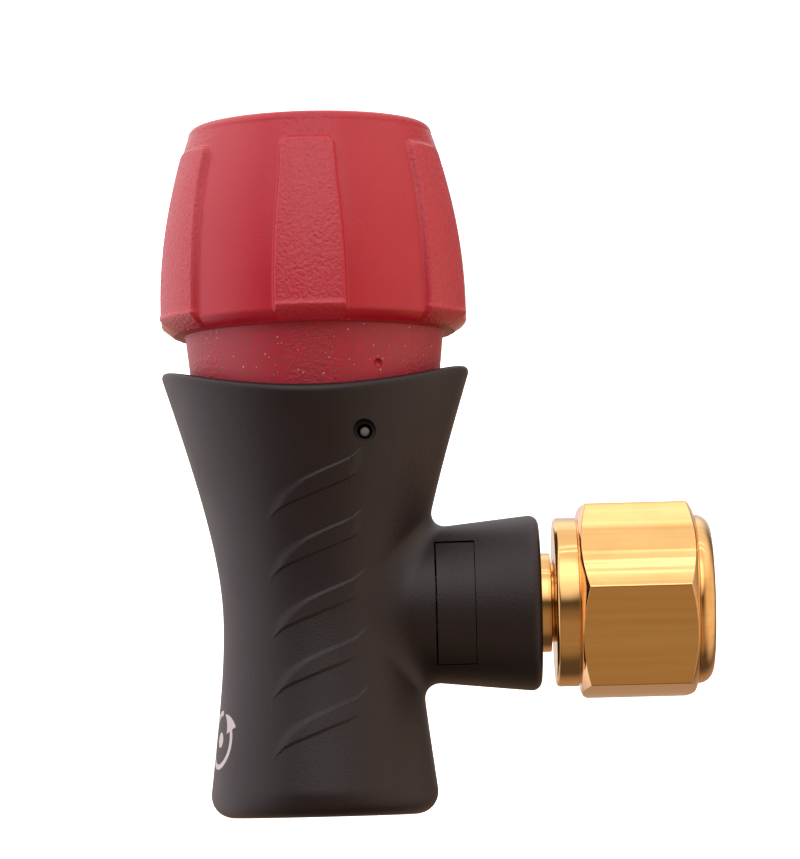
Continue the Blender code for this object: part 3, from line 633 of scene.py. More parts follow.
@dataclass(frozen=True)
class TurnedMetal:
    """A turned metal surface: fine tool rings, from polished to plain machined."""

    name: str
    colour: str
    deep_colour: str
    roughness: float
    ring_mm: float = 0.12
    ring_depth_mm: float = 0.0006
    smudge_mm: float = 3.0
    axis: Axis = Axis.UPRIGHT
    gloss_change: tuple[float, float] = (0.8, 1.25)
    coat: float = 0.0
    coat_ior: float = 1.7
    coat_roughness: float = 0.06
    streak_mm: float = 0.0
    streak_stretch: float = 0.03
    streak_range: tuple[float, float] = (0.25, 0.75)

    def build(self) -> bpy.types.Material:
        """Makes the material.

        Returns:
            The material.
        """
        material, tree, shader = start_material(self.name)
        place = add_node(tree, "ShaderNodeTexCoord").outputs["Object"]
        smudge = add_node(
            tree,
            "ShaderNodeTexNoise",
            inputs={"Vector": place, "Scale": per_mm(self.smudge_mm), "Detail": 4.0},
        ).outputs["Fac"]
        depth = smudge
        if self.streak_mm:
            # Long draw lines run along the bar that the piece was cut from.
            drawn = add_node(
                tree,
                "ShaderNodeVectorMath",
                {"operation": "MULTIPLY"},
                {0: place, 1: (self.streak_stretch, 1.0, 1.0)},
            ).outputs["Vector"]
            lines = add_node(
                tree,
                "ShaderNodeTexNoise",
                inputs={"Vector": drawn, "Scale": per_mm(self.streak_mm), "Detail": 4.0},
            ).outputs["Fac"]
            depth = add_node(
                tree,
                "ShaderNodeMapRange",
                inputs={
                    "Value": lines,
                    "From Min": self.streak_range[0],
                    "From Max": self.streak_range[1],
                },
            ).outputs["Result"]
        tone = add_node(
            tree,
            "ShaderNodeMix",
            {"data_type": "RGBA"},
            {"Factor": depth, 6: linear(self.colour), 7: linear(self.deep_colour)},
        )
        gloss = add_node(
            tree,
            "ShaderNodeMapRange",
            inputs={
                "Value": smudge,
                "From Min": 0.3,
                "From Max": 0.7,
                "To Min": self.roughness * self.gloss_change[0],
                "To Max": self.roughness * self.gloss_change[1],
            },
        )
        # Rings left by the tool run round the axis, so they change along it.
        along = "X" if self.axis is Axis.ARM else "Z"
        rings = add_node(
            tree,
            "ShaderNodeTexWave",
            {"bands_direction": along},
            {"Vector": place, "Scale": per_mm(self.ring_mm) / 10, "Distortion": 0.5},
        )
        bump = add_node(
            tree,
            "ShaderNodeBump",
            inputs={
                "Height": rings.outputs["Fac"],
                "Distance": self.ring_depth_mm * MM,
                "Strength": 0.5,
            },
        )
        set_inputs(
            tree,
            shader,
            {
                "Base Color": tone.outputs[2],
                "Metallic": 1.0,
                "Roughness": gloss.outputs["Result"],
                "Normal": bump.outputs["Normal"],
                "Coat Weight": self.coat,
                "Coat IOR": self.coat_ior,
                "Coat Roughness": self.coat_roughness,
            },
        )
        return material


@dataclass(frozen=True)
class DullSolid:
    """A plain moulded or sintered piece: rubber, natural nylon or sintered bronze."""

    name: str
    colour: str
    second_colour: str
    roughness: float
    grain_mm: float
    grain_depth_mm: float
    metallic: float = 0.0
    ior: float = 1.5

    def build(self) -> bpy.types.Material:
        """Makes the material.

        Returns:
            The material.
        """
        material, tree, shader = start_material(self.name)
        place = add_node(tree, "ShaderNodeTexCoord").outputs["Object"]
        grain = add_node(
            tree,
            "ShaderNodeTexNoise",
            inputs={"Vector": place, "Scale": per_mm(self.grain_mm), "Detail": 3.0},
        ).outputs["Fac"]
        tone = add_node(
            tree,
            "ShaderNodeMix",
            {"data_type": "RGBA"},
            {"Factor": grain, 6: linear(self.colour), 7: linear(self.second_colour)},
        )
        bump = add_node(
            tree,
            "ShaderNodeBump",
            inputs={"Height": grain, "Distance": self.grain_depth_mm * MM, "Strength": 0.8},
        )
        inputs: dict[str, object] = {
            "Base Color": tone.outputs[2],
            "Roughness": self.roughness,
            "Metallic": self.metallic,
            "Normal": bump.outputs["Normal"],
        }
        if not self.metallic:
            inputs["IOR"] = self.ior
        set_inputs(tree, shader, inputs)
        return material


@dataclass
class Finishes:
    """Every finish of the object, built once."""

    # Filled nylon from a spark-eroded tool: satin black with an even grain, once printed.
    grip: bpy.types.Material = field(
        default_factory=lambda: GrainedNylon(mark=TurnMark()).build()
    )
    key: bpy.types.Material = field(
        default_factory=lambda: GrainedNylon("black_moulded_nylon_key").build()
    )
    # Coloured nylon, leathery on the ribs: soft highlights broken into small glints.
    knob: bpy.types.Material = field(default_factory=lambda: OrangePeelNylon().build())
    # Dyed clear oxide over polished aluminium: a warm mirror under a clear coat.
    gold: bpy.types.Material = field(
        default_factory=lambda: TurnedMetal(
            "gold_anodised_aluminium",
            "#fccb82",
            "#efb869",
            0.1,
            axis=Axis.ARM,
            coat=0.6,
            streak_mm=0.7,
        ).build()
    )
    # Free-cutting brass straight from the lathe: soft yellow, tool rings showing.
    brass: bpy.types.Material = field(
        default_factory=lambda: TurnedMetal(
            "turned_brass", "#d9b871", "#c9a55c", 0.26, 0.2, 0.003
        ).build()
    )
    # Ground spring steel: cool grey and fairly bright.
    steel: bpy.types.Material = field(
        default_factory=lambda: TurnedMetal(
            "ground_spring_steel", "#b9babd", "#a5a6aa", 0.28, 0.1, 0.002
        ).build()
    )
    # Plated pin, dulled by oil: darker than bare steel.
    pin: bpy.types.Material = field(
        default_factory=lambda: TurnedMetal(
            "plated_steel_pin", "#8b8583", "#7b7573", 0.36, 0.1, 0.002
        ).build()
    )
    # Nitrile rubber: nearly black and matt.
    rubber: bpy.types.Material = field(
        default_factory=lambda: DullSolid(
            "moulded_nitrile_rubber", "#1b1a1a", "#242322", 0.62, 0.3, 0.01, ior=1.52
        ).build()
    )
    # Undyed nylon: milky off-white.
    nylon: bpy.types.Material = field(
        default_factory=lambda: DullSolid(
            "turned_natural_nylon", "#dcd7c8", "#e6e2d6", 0.45, 0.4, 0.006, ior=1.53
        ).build()
    )
    # Sintered bronze: brown metal grains with pores.
    bronze: bpy.types.Material = field(
        default_factory=lambda: DullSolid(
            "sintered_bronze", "#8a6238", "#5d4228", 0.7, 0.15, 0.04, metallic=1.0
        ).build()
    )


# ---------------------------------------------------------------- solids


def arc(middle: Point, radius: float, start: float, end: float, steps: int = 8) -> Outline:
    """Points on an arc.

    Args:
        middle: the arc's centre.
        radius: its radius.
        start: the first angle, in degrees.
        end: the last angle, in degrees.
        steps: how many stretches it has.

    Returns:
        The points, both ends included.
    """
    turns = [math.radians(start + (end - start) * i / steps) for i in range(steps + 1)]
    return [(middle[0] + radius * math.cos(t), middle[1] + radius * math.sin(t)) for t in turns]


def softened(outline: Outline, radius: float, steps: int = 4) -> Outline:
    """Rounds the corners of an outline, so that its edges catch the light.

    Args:
        outline: a closed outline of (radius, height) points.
        radius: the rounding wanted at each corner, less where a stretch is short.
        steps: how many stretches each rounding gets.

    Returns:
        The outline with arcs in place of its corners, except on the axis.
    """
    nearly_straight = math.radians(80)
    result: Outline = []
    points = [Vector(p) for p in outline]
    for index, corner in enumerate(points):
        before = points[index - 1] - corner
        after = points[(index + 1) % len(points)] - corner
        if corner.x < TINY or before.length < TINY or after.length < TINY:
            result.append((corner.x, corner.y))
            continue
        half = before.angle(after) / 2
        if half > nearly_straight:
            result.append((corner.x, corner.y))
            continue
        room = 0.45 * min(before.length, after.length)
        reach = min(radius / math.tan(half), room)
        first, last = before.normalized() * reach, after.normalized() * reach
        for step in range(steps + 1):
            t = step / steps
            # A quadratic curve from one side to the other, with the corner as its handle.
            spot = corner + first * (1 - t) ** 2 + last * t**2
            result.append((spot.x, spot.y))
    return result


def dense(outline: Outline, longest: float) -> Outline:
    """Splits the stretches of an outline that are too long.

    Args:
        outline: an open outline.
        longest: the longest stretch allowed.

    Returns:
        The outline with points added.
    """
    result: Outline = [outline[0]]
    for start, end in zip(outline, outline[1:]):
        parts = max(1, math.ceil(math.dist(start, end) / longest))
        for part in range(1, parts + 1):
            share = part / parts
            result.append(tuple(a + (b - a) * share for a, b in zip(start, end)))
    return result


def groove(radius: float, floor: float, start: float, end: float) -> Outline:
    """The corners of a square groove, or of a collar where its floor stands out."""
    return [(radius, start), (floor, start), (floor, end), (radius, end)]


def mesh_of(bm: bmesh.types.BMesh, name: str) -> bpy.types.Mesh:
    """Turns a bmesh into a mesh with its faces pointing out.

    Args:
        bm: the bmesh, which is freed.
        name: the mesh's name.

    Returns:
        The mesh.
    """
    bmesh.ops.recalc_face_normals(bm, faces=bm.faces)
    mesh = bpy.data.meshes.new(name)
    bm.to_mesh(mesh)
    bm.free()
    return mesh


def grid_mesh(name: str, rings: Sequence[np.ndarray], loop: bool) -> bpy.types.Mesh:
    """Skins rings of points, each with as many points as the others.

    Args:
        name: the mesh's name.
        rings: arrays of shape (points, 3), or (1, 3) for a pole.
        loop: whether the last ring joins the first.

    Returns:
        The mesh.
    """
    starts = np.cumsum([0] + [len(ring) for ring in rings])
    count = max(len(ring) for ring in rings)
    here = np.arange(count)
    beside = (here + 1) % count
    faces: list[tuple[int, ...]] = []
    pairs = list(zip(range(len(rings)), range(1, len(rings))))
    if loop:
        pairs.append((len(rings) - 1, 0))
    for low, high in pairs:
        a, b = starts[low], starts[high]
        if len(rings[low]) == 1:
            faces += [(a, b + j, b + i) for i, j in zip(here, beside)]
        elif len(rings[high]) == 1:
            faces += [(a + i, a + j, b) for i, j in zip(here, beside)]
        else:
            faces += [(a + i, a + j, b + j, b + i) for i, j in zip(here, beside)]
    mesh = bpy.data.meshes.new(name)
    points = np.concatenate(rings)
    mesh.from_pydata(points.tolist(), [], [tuple(int(v) for v in f) for f in faces])
    bm = bmesh.new()
    bm.from_mesh(mesh)
    bpy.data.meshes.remove(mesh)
    return mesh_of(bm, name)


def ring_points(reach: np.ndarray, turns: np.ndarray, height: float) -> np.ndarray:
    """One level ring of points, from a radius at each angle."""
    return np.stack([reach * np.cos(turns), reach * np.sin(turns), 0 * turns + height], 1)


def turned(
    name: str,
    outline: Outline,
    steps: int = 96,
    relief: Callable[[np.ndarray, float, float], np.ndarray] | None = None,
) -> bpy.types.Mesh:
    """A solid turned about the upright axis.

    Args:
        name: the mesh's name.
        outline: (radius, height) points, round a ring or from axis to axis.
        steps: points round the axis.
        relief: the radius added at some angles, from the angles, a radius and a height.

    Returns:
        The mesh, in millimetres.
    """
    turns = np.linspace(0, 2 * math.pi, steps, endpoint=False)
    rings = []
    for radius, height in outline:
        if radius < TINY:
            rings.append(np.array([[0, 0, height]]))
            continue
        reach = radius + (relief(turns, radius, height) if relief else 0 * turns)
        rings.append(ring_points(reach, turns, height))
    loop = outline[0][0] > TINY and outline[-1][0] > TINY
    return grid_mesh(name, rings, loop)


def box_solid(name: str, low: Sequence[float], high: Sequence[float]) -> bpy.types.Mesh:
    """A box between two corners, for cutting.

    Args:
        name: the mesh's name.
        low: the lowest corner.
        high: the highest corner.

    Returns:
        The mesh.
    """
    bm = bmesh.new()
    bmesh.ops.create_cube(bm, size=1.0)
    for vertex in bm.verts:
        vertex.co = [h if c > 0 else b for c, b, h in zip(vertex.co, low, high)]
    return mesh_of(bm, name)


def evaluated(obj: bpy.types.Object, name: str) -> bpy.types.Mesh:
    """An object's mesh with its modifiers applied; the object is removed.

    Args:
        obj: the object.
        name: the new mesh's name.

    Returns:
        The mesh.
    """
    bpy.context.view_layer.update()
    graph = bpy.context.evaluated_depsgraph_get()
    mesh = bpy.data.meshes.new_from_object(obj.evaluated_get(graph))
    mesh.name = name
    bpy.data.objects.remove(obj)
    return mesh


def loose(mesh: bpy.types.Mesh) -> bpy.types.Object:
    """Puts a mesh in the scene as a helper object.

    Args:
        mesh: the mesh.

    Returns:
        The object.
    """
    obj = bpy.data.objects.new(mesh.name + "_helper", mesh)
    bpy.context.scene.collection.objects.link(obj)
    return obj


def combined(
    mesh: bpy.types.Mesh, others: Iterable[bpy.types.Mesh], cut: Cut
) -> bpy.types.Mesh:
    """Combines a solid with others, one after another.

    Args:
        mesh: the solid that is changed.
        others: the solids that change it.
        cut: what they do to it.

    Returns:
        The new mesh.
    """
    name = mesh.name
    for other in others:
        obj, helper = loose(mesh), loose(other)
        modifier = obj.modifiers.new("cut", "BOOLEAN")
        modifier.operation = cut.value
        modifier.solver = "MANIFOLD"
        modifier.object = helper
        mesh = evaluated(obj, name)
        bpy.data.objects.remove(helper)
    return mesh


def along_arm(mesh: bpy.types.Mesh) -> bpy.types.Mesh:
    """Lays a solid that was turned upright along the arm, its heights now along +X.

    Args:
        mesh: the mesh, changed in place.

    Returns:
        The same mesh.
    """
    turn = Euler((0, math.pi / 2, 0)).to_matrix().to_4x4()
    mesh.transform(Matrix.Translation((0, 0, ARM_HEIGHT)) @ turn)
    return mesh


def along_pin(mesh: bpy.types.Mesh) -> bpy.types.Mesh:
    """Lays a solid that was turned upright along the locking pin, its heights now along +Y.

    Args:
        mesh: the mesh, changed in place.

    Returns:
        The same mesh.
    """
    x, z = PIN_PLACE
    turn = Euler((-math.pi / 2, 0, 0)).to_matrix().to_4x4()
    mesh.transform(Matrix.Translation((x, 0, z)) @ turn)
    return mesh


def place(
    mesh: bpy.types.Mesh,
    nodes: Sequence[str],
    body: Body,
    slot: Slot,
    material: bpy.types.Material,
    crease: float = 38.0,
) -> bpy.types.Object:
    """Makes a piece of the object from a mesh in millimetres.

    Args:
        mesh: the piece's mesh.
        nodes: the frame's nodes that it stands for.
        body: the body that it rides on.
        slot: the record's material slot; not used.
        material: its finish.
        crease: the angle from which its edges are sharp, in degrees.

    Returns:
        The piece.
    """
    mesh.transform(Matrix.Scale(MM, 4))
    mesh.materials.clear()
    mesh.materials.append(material)
    mesh.polygons.foreach_set("material_index", np.zeros(len(mesh.polygons), np.int32))
    mesh.shade_smooth()
    mesh.set_sharp_from_angle(angle=math.radians(crease))
    piece = bpy.data.objects.new("fine_" + nodes[0], mesh)
    bpy.context.scene.collection.objects.link(piece)
    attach(piece, body.value)
    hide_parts(*nodes)
    LOG.info("%s: %d faces, on %s", piece.name, len(mesh.polygons), body.value)
    return piece


def span(node: str, axis: int) -> Point:
    """A node's lowest and highest coordinate along an axis, in millimetres."""
    low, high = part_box(node)
    return low[axis] / MM, high[axis] / MM


def thread_relief(
    low: float, high: float, pitch: float, depth: float
) -> Callable[[np.ndarray, float, float], np.ndarray]:
    """The relief of an inside thread cut between two heights.

    Args:
        low: where the thread starts.
        high: where it ends.
        pitch: its pitch.
        depth: how much deeper than the bore its roots are.

    Returns:
        The radius to add, from the angles, a radius and a height.
    """

    def relief(turns: np.ndarray, radius: float, height: float) -> np.ndarray:
        """The thread's depth at each angle of one ring.

        Args:
            turns: the angles.
            radius: the bore's radius, which doesn't change it.
            height: the ring's height.

        Returns:
            The radii to add.
        """
        fade = min(1.0, max(0.0, min(height - low, high - height) / (pitch * 0.6)))
        phase = (height / pitch - turns / (2 * math.pi)) % 1.0
        # The flanks are steepened and clipped, which leaves flat crests and roots.
        ridge = np.clip(np.abs(phase - 0.5) * 2 * 1.3 - 0.15, 0, 1)
        return depth * fade * (1 - ridge)

    return relief


# ---------------------------------------------------------------- sub-assemblies


def round_union(one: np.ndarray, other: np.ndarray, radius: float) -> np.ndarray:
    """Joins two distance fields with a fillet of this radius between them."""
    first, second = np.maximum(radius - one, 0), np.maximum(radius - other, 0)
    return np.maximum(radius, np.minimum(one, other)) - np.hypot(first, second)


def round_cut(one: np.ndarray, other: np.ndarray, radius: float) -> np.ndarray:
    """Keeps what two distance fields share, with its edge rounded to this radius."""
    first, second = np.maximum(radius + one, 0), np.maximum(radius + other, 0)
    return np.minimum(-radius, np.maximum(one, other)) + np.hypot(first, second)


def smooth_step(value: np.ndarray) -> np.ndarray:
    """Eases from 0 to 1 as the value goes from 0 to 1."""
    value = np.clip(value, 0, 1)
    return value * value * (3 - 2 * value)


def pulled_onto(
    points: np.ndarray, distance: Callable[[np.ndarray], np.ndarray], rounds: int
) -> np.ndarray:
    """Moves points onto the surface where a distance function is zero.

    Args:
        points: the points, one row each.
        distance: the function.
        rounds: how many Newton steps are made.

    Returns:
        The moved points.
    """
    nudge, least_slope, longest_move = 0.01, 0.2, 0.5
    for _ in range(rounds):
        value = distance(points)
        slope = np.empty_like(points)
        for axis in range(3):
            step = np.zeros(3)
            step[axis] = nudge
            slope[:, axis] = (distance(points + step) - distance(points - step)) / (2 * nudge)
        size = np.maximum((slope**2).sum(1), least_slope)
        move = np.clip(value / size, -longest_move, longest_move)
        points = points - slope * move[:, None]
    return points


def mesh_points(mesh: bpy.types.Mesh) -> np.ndarray:
    """A mesh's points as an array.

    Args:
        mesh: the mesh.

    Returns:
        The points, one row each.
    """
    flat = np.empty(len(mesh.vertices) * 3)
    mesh.vertices.foreach_get("co", flat)
    return flat.reshape(-1, 3)


def set_points(mesh: bpy.types.Mesh, points: np.ndarray) -> None:
    """Moves a mesh's points to the rows of an array."""
    mesh.vertices.foreach_set("co", points.ravel())
    mesh.update()


def relaxed(mesh: bpy.types.Mesh, share: float) -> np.ndarray:
    """Each point of a mesh moved part of the way to the middle of its neighbours.

    Args:
        mesh: the mesh.
        share: how far they go.

    Returns:
        The moved points.
    """
    points = mesh_points(mesh)
    ends = np.empty(len(mesh.edges) * 2, np.int32)
    mesh.edges.foreach_get("vertices", ends)
    ends = ends.reshape(-1, 2)
    total = np.zeros_like(points)
    count = np.zeros(len(points))
    for a, b in ((0, 1), (1, 0)):
        np.add.at(total, ends[:, a], points[ends[:, b]])
        np.add.at(count, ends[:, a], 1)
    return points + (total / count[:, None] - points) * share


@dataclass
class GripHousing:
    """The moulded grip, its key and its locking pin."""

    finishes: Finishes
    waist_radius: float = 7.92
    waist_height: float = 15.6
    upper_flare: float = 0.352
    upper_bend: float = 9.0
    lower_flare: float = 0.142
    lower_bend: float = 6.0
    base_corner: float = 2.1
    rim_height: float = 34.1
    rim_rise: float = 2.2
    rim_reach: float = 12.4
    rim_round: float = 0.75
    arm_radius: float = 6.17
    arm_slope: float = 0.1033
    arm_taper_start: float = 7.9
    arm_reach: float = 17.8
    arm_edge: float = 0.9
    arm_root: float = 3.0
    fillet: float = 1.5
    cup_floor: float = 31.6
    cup_radius: float = 10.29
    cup_slope: float = 0.0964
    bore_radius: float = 6.4
    arm_bore_radius: float = 4.32
    key_middle: float = 10.9
    key_half_width: float = 1.62
    key_half_height: float = 4.97
    key_depth: float = 2.38
    prong_half_width: float = 1.27
    prong_outer: float = 4.72
    prong_inner: float = 3.3
    prong_reach: float = 3.7
    prong_gap: float = 0.12
    prong_play: float = 0.3
    prong_sink: float = 0.6
    key_low_trim: Point = (0.03, -0.05)
    key_high_trim: Point = (0.06, -0.04)
    pin_hole_radius: float = 0.6
    pin_sink_radius: float = 0.9
    pin_sink_depth: float = 1.2
    rib_heights: tuple[float, ...] = (7.5, 12.2, 16.9, 21.7, 26.4)
    rib_half_length: float = 3.9
    rib_bend: float = 2.95
    rib_slope: float = 0.37
    rib_curl: float = 1.0
    rib_half_thickness: float = 0.85
    rib_relief: float = 0.135
    rib_bend_round: float = 0.5
    rib_foot: float = 0.16
    rib_fade_places: tuple[float, ...] = (-3.5, -2.2, -0.8, 1.5)
    rib_fades: tuple[float, ...] = (1.7, 1.1, 0.4, 0.18)
    rib_left_fade: float = 1.7
    rib_right_fade: float = 1.1
    rib_end_slant: float = 0.35
    rib_nearest: float = 4.0
    voxel: float = 0.25
    relax_rounds: int = 6
    relax_share: float = 0.6
    refine_reaches: tuple[float, float] = (0.45, 0.12)
    refine_share: float = 0.13
    overcut: float = 2.0
    beyond: float = 10.0
    pin_hole_start: float = -16.0

    def body_radius(self, height: np.ndarray) -> tuple[np.ndarray, np.ndarray]:
        """The body's outer radius and its slope.

        Args:
            height: the heights.

        Returns:
            The radii and their change with height.
        """
        rise = height - self.waist_height
        flare = np.where(rise > 0, self.upper_flare, self.lower_flare)
        bend = np.where(rise > 0, self.upper_bend, self.lower_bend)
        long = np.hypot(rise, bend)
        return self.waist_radius + flare * (long - bend), flare * rise / long

    def plain_outside(self, points: np.ndarray) -> np.ndarray:
        """Distance to the outside of the solid grip and arm, without its finger ribs.

        Args:
            points: one row each.

        Returns:
            The distances, negative inside.
        """
        x, y, z = points.T
        radius, slope = self.body_radius(z)
        side = (np.hypot(x, y) - radius) / np.hypot(1, slope)
        tilt = 2 * self.rim_rise * x / self.rim_reach**2
        rim = self.rim_height + self.rim_rise * (x / self.rim_reach) ** 2
        body = round_cut(side, (z - rim) / np.hypot(1, tilt), self.rim_round)
        body = round_cut(body, -z, self.base_corner)
        around = np.hypot(y, z - ARM_HEIGHT)
        arm = around - self.arm_radius - self.arm_slope * (x - self.arm_taper_start)
        arm = round_cut(arm, x - self.arm_reach, self.arm_edge)
        arm = np.maximum(arm, self.arm_root - x)
        return round_union(body, arm, self.fillet)

    def rib_height(self, points: np.ndarray) -> np.ndarray:
        """How far the slanted finger ribs stand out, on the front and the back.

        Args:
            points: one row each.

        Returns:
            The heights above the plain surface.
        """
        x, y, z = points.T
        # Past the bend the ribs turn smoothly into the curls at their ends.
        over = np.abs(x) - self.rib_bend
        curl = np.sign(x) * (over + np.hypot(over, self.rib_bend_round)) / 2
        middle = self.rib_slope * x + (self.rib_curl - self.rib_slope) * curl
        # The upper edge is crisp towards +X and melts into the grip towards -X.
        soft = np.interp(x, self.rib_fade_places, self.rib_fades)
        total = np.zeros(len(x))
        for height in self.rib_heights:
            off = z - height - middle
            slant = self.rib_end_slant * off
            low = smooth_step((off + self.rib_half_thickness) / self.rib_foot)
            high = smooth_step((self.rib_half_thickness - off) / soft)
            left = smooth_step((x + self.rib_half_length - slant) / self.rib_left_fade)
            right = smooth_step((self.rib_half_length + slant - x) / self.rib_right_fade)
            total = np.maximum(total, low * high * left * right)
        return self.rib_relief * total * smooth_step(np.abs(y) - self.rib_nearest)

    def outside(self, points: np.ndarray) -> np.ndarray:
        """Distance to the outside of the solid grip, finger ribs included."""
        return self.plain_outside(points) - self.rib_height(points)

    def rough_solid(self) -> bpy.types.Mesh:
        """A coarse solid that the fine surface is shrunk from.

        Returns:
            The mesh, remeshed to even quads.
        """
        heights = np.linspace(0, self.rim_height + self.rim_rise, 24)
        radii, _ = self.body_radius(heights)
        outline = [(0, 0), *zip(radii, heights), (0, heights[-1])]
        body = turned("grip_rough", outline, 64)
        end = self.arm_radius + self.arm_slope * (self.arm_reach - self.arm_taper_start)
        start = self.arm_root
        arm_outline = [(0, start), (self.arm_radius, start)]
        arm_outline += [(end, self.arm_reach), (0, self.arm_reach)]
        arm = along_arm(turned("arm_rough", arm_outline, 64))
        body = combined(body, [arm], Cut.ADD)
        helper = loose(body)
        modifier = helper.modifiers.new("even", "REMESH")
        modifier.mode = "VOXEL"
        modifier.voxel_size = self.voxel
        return evaluated(helper, "grip_solid")

    def refine_ribs(self, mesh: bpy.types.Mesh) -> bpy.types.Mesh:
        """Halves the quads by the finger ribs, and halves them again along their edges.

        Args:
            mesh: the even mesh.

        Returns:
            The refined mesh.
        """
        for reach in self.refine_reaches:
            points = mesh_points(mesh)
            levels = [
                self.rib_height(points + np.array([x, 0, z]))
                for x in (-reach, 0, reach)
                for z in (-reach, 0, reach)
            ]
            near = np.ptp(levels, axis=0) > self.rib_relief * self.refine_share
            bm = bmesh.new()
            bm.from_mesh(mesh)
            edges = [e for e in bm.edges if near[e.verts[0].index] and near[e.verts[1].index]]
            bmesh.ops.subdivide_edges(bm, edges=edges, cuts=1, use_grid_fill=True)
            bm.to_mesh(mesh)
            bm.free()
        return mesh

    def solid(self) -> bpy.types.Mesh:
        """The solid grip and arm with their fine outer surface, before any hole is cut.

        Returns:
            The mesh.
        """
        mesh = self.rough_solid()
        for _ in range(self.relax_rounds):
            even = relaxed(mesh, self.relax_share)
            set_points(mesh, pulled_onto(even, self.plain_outside, 2))
        mesh = self.refine_ribs(mesh)
        set_points(mesh, pulled_onto(mesh_points(mesh), self.outside, 5))
        return mesh

    def cutters(self) -> list[bpy.types.Mesh]:
        """The holes of the grip: cup, bore, arm bore, key pocket, prong slot and pin hole.

        Returns:
            Their solids.
        """
        floor, past, wide = self.cup_floor, self.overcut, self.arm_bore_radius
        top = self.rim_height + self.rim_rise + past
        rim = self.cup_radius + self.cup_slope * (top - floor)
        cup = [(0, floor), (self.cup_radius, floor), (rim, top), (0, top)]
        bore = [(0, -past), (self.bore_radius, -past)]
        bore += [(self.bore_radius, floor + 0.5), (0, floor + 0.5)]
        end = self.arm_reach + past
        arm = [(0, 0), (wide, 0), (wide, end), (0, end)]
        holes = [turned("cup", cup, 160), turned("bore", bore, 96)]
        holes.append(along_arm(turned("arm_bore", arm, 96)))
        sockets = (
            ("key_pocket", self.key_half_width, self.key_half_height, -self.beyond, -self.key_depth),
            (
                "prong_slot",
                self.prong_half_width,
                self.prong_outer,
                -self.key_depth - self.prong_play,
                self.prong_reach,
            ),
        )
        for name, half, tall, front, back in sockets:
            low = (self.key_middle - half, front, ARM_HEIGHT - tall)
            high = (self.key_middle + half, back, ARM_HEIGHT + tall)
            holes.append(box_solid(name, low, high))
        x, z = PIN_PLACE
        radius, _ = self.body_radius(np.array([z]))
        sink = math.sqrt(radius[0] ** 2 - x**2) - self.pin_sink_depth
        start = self.pin_hole_start
        for size, deep in ((self.pin_hole_radius, 0.0), (self.pin_sink_radius, sink)):
            outline = [(0, start), (size, start), (size, -deep), (0, -deep)]
            holes.append(along_pin(turned("pin_hole", outline, 40)))
        return holes

    def key(self, solid: bpy.types.Mesh) -> bpy.types.Mesh:
        """The U-shaped key, flush with the arm's outside.

        Args:
            solid: the solid grip, which the key's face is cut from.

        Returns:
            The mesh.
        """
        (x_low, x_high), (z_low, z_high) = span("stem_key", 0), span("stem_key", 2)
        low = (x_low + self.key_low_trim[0], -self.beyond, z_low + self.key_low_trim[1])
        high = (
            x_high + self.key_high_trim[0],
            -self.key_depth - self.prong_gap,
            z_high + self.key_high_trim[1],
        )
        key = combined(solid, [box_solid("key_plate", low, high)], Cut.KEEP)
        bore, end = self.arm_bore_radius, self.arm_reach + self.overcut
        room = turned("key_room", [(0, 0), (bore, 0), (bore, end), (0, end)], 96)
        key = combined(key, [along_arm(room)], Cut.REMOVE)
        root = math.sqrt(bore**2 - self.prong_inner**2) + self.prong_sink
        half = self.prong_half_width - self.prong_gap
        reach = self.prong_reach - self.prong_play
        prongs = []
        for side in (-1, 1):
            levels = (side * self.prong_inner, side * (self.prong_outer - self.prong_gap))
            low = (self.key_middle - half, -root, ARM_HEIGHT + min(levels))
            high = (self.key_middle + half, reach, ARM_HEIGHT + max(levels))
            prongs.append(box_solid("prong", low, high))
        return combined(key, prongs, Cut.ADD)

    def pin(self) -> bpy.types.Mesh:
        """The locking pin, with its rounded end.

        Returns:
            The mesh.
        """
        start, end = span("locking_pin", 1)
        low, high = span("locking_pin", 2)
        radius = (high - low) / 2
        outline = softened([(0, start), (radius, start), (radius, end), (0, end)], 0.2, 5)
        return along_pin(turned("pin", outline, 48))

    def build(self) -> None:
        """Makes the grip, the key and the pin."""
        solid = self.solid()
        key = self.key(solid.copy())
        grip = combined(solid, self.cutters(), Cut.REMOVE)
        grip.name = "grip"
        place(grip, ["grip_shell"], Body.HOUSING, Slot.GRIP, self.finishes.grip)
        place(key, ["stem_key"], Body.HOUSING, Slot.GRIP, self.finishes.key)
        place(self.pin(), ["locking_pin"], Body.HOUSING, Slot.STEEL, self.finishes.pin)


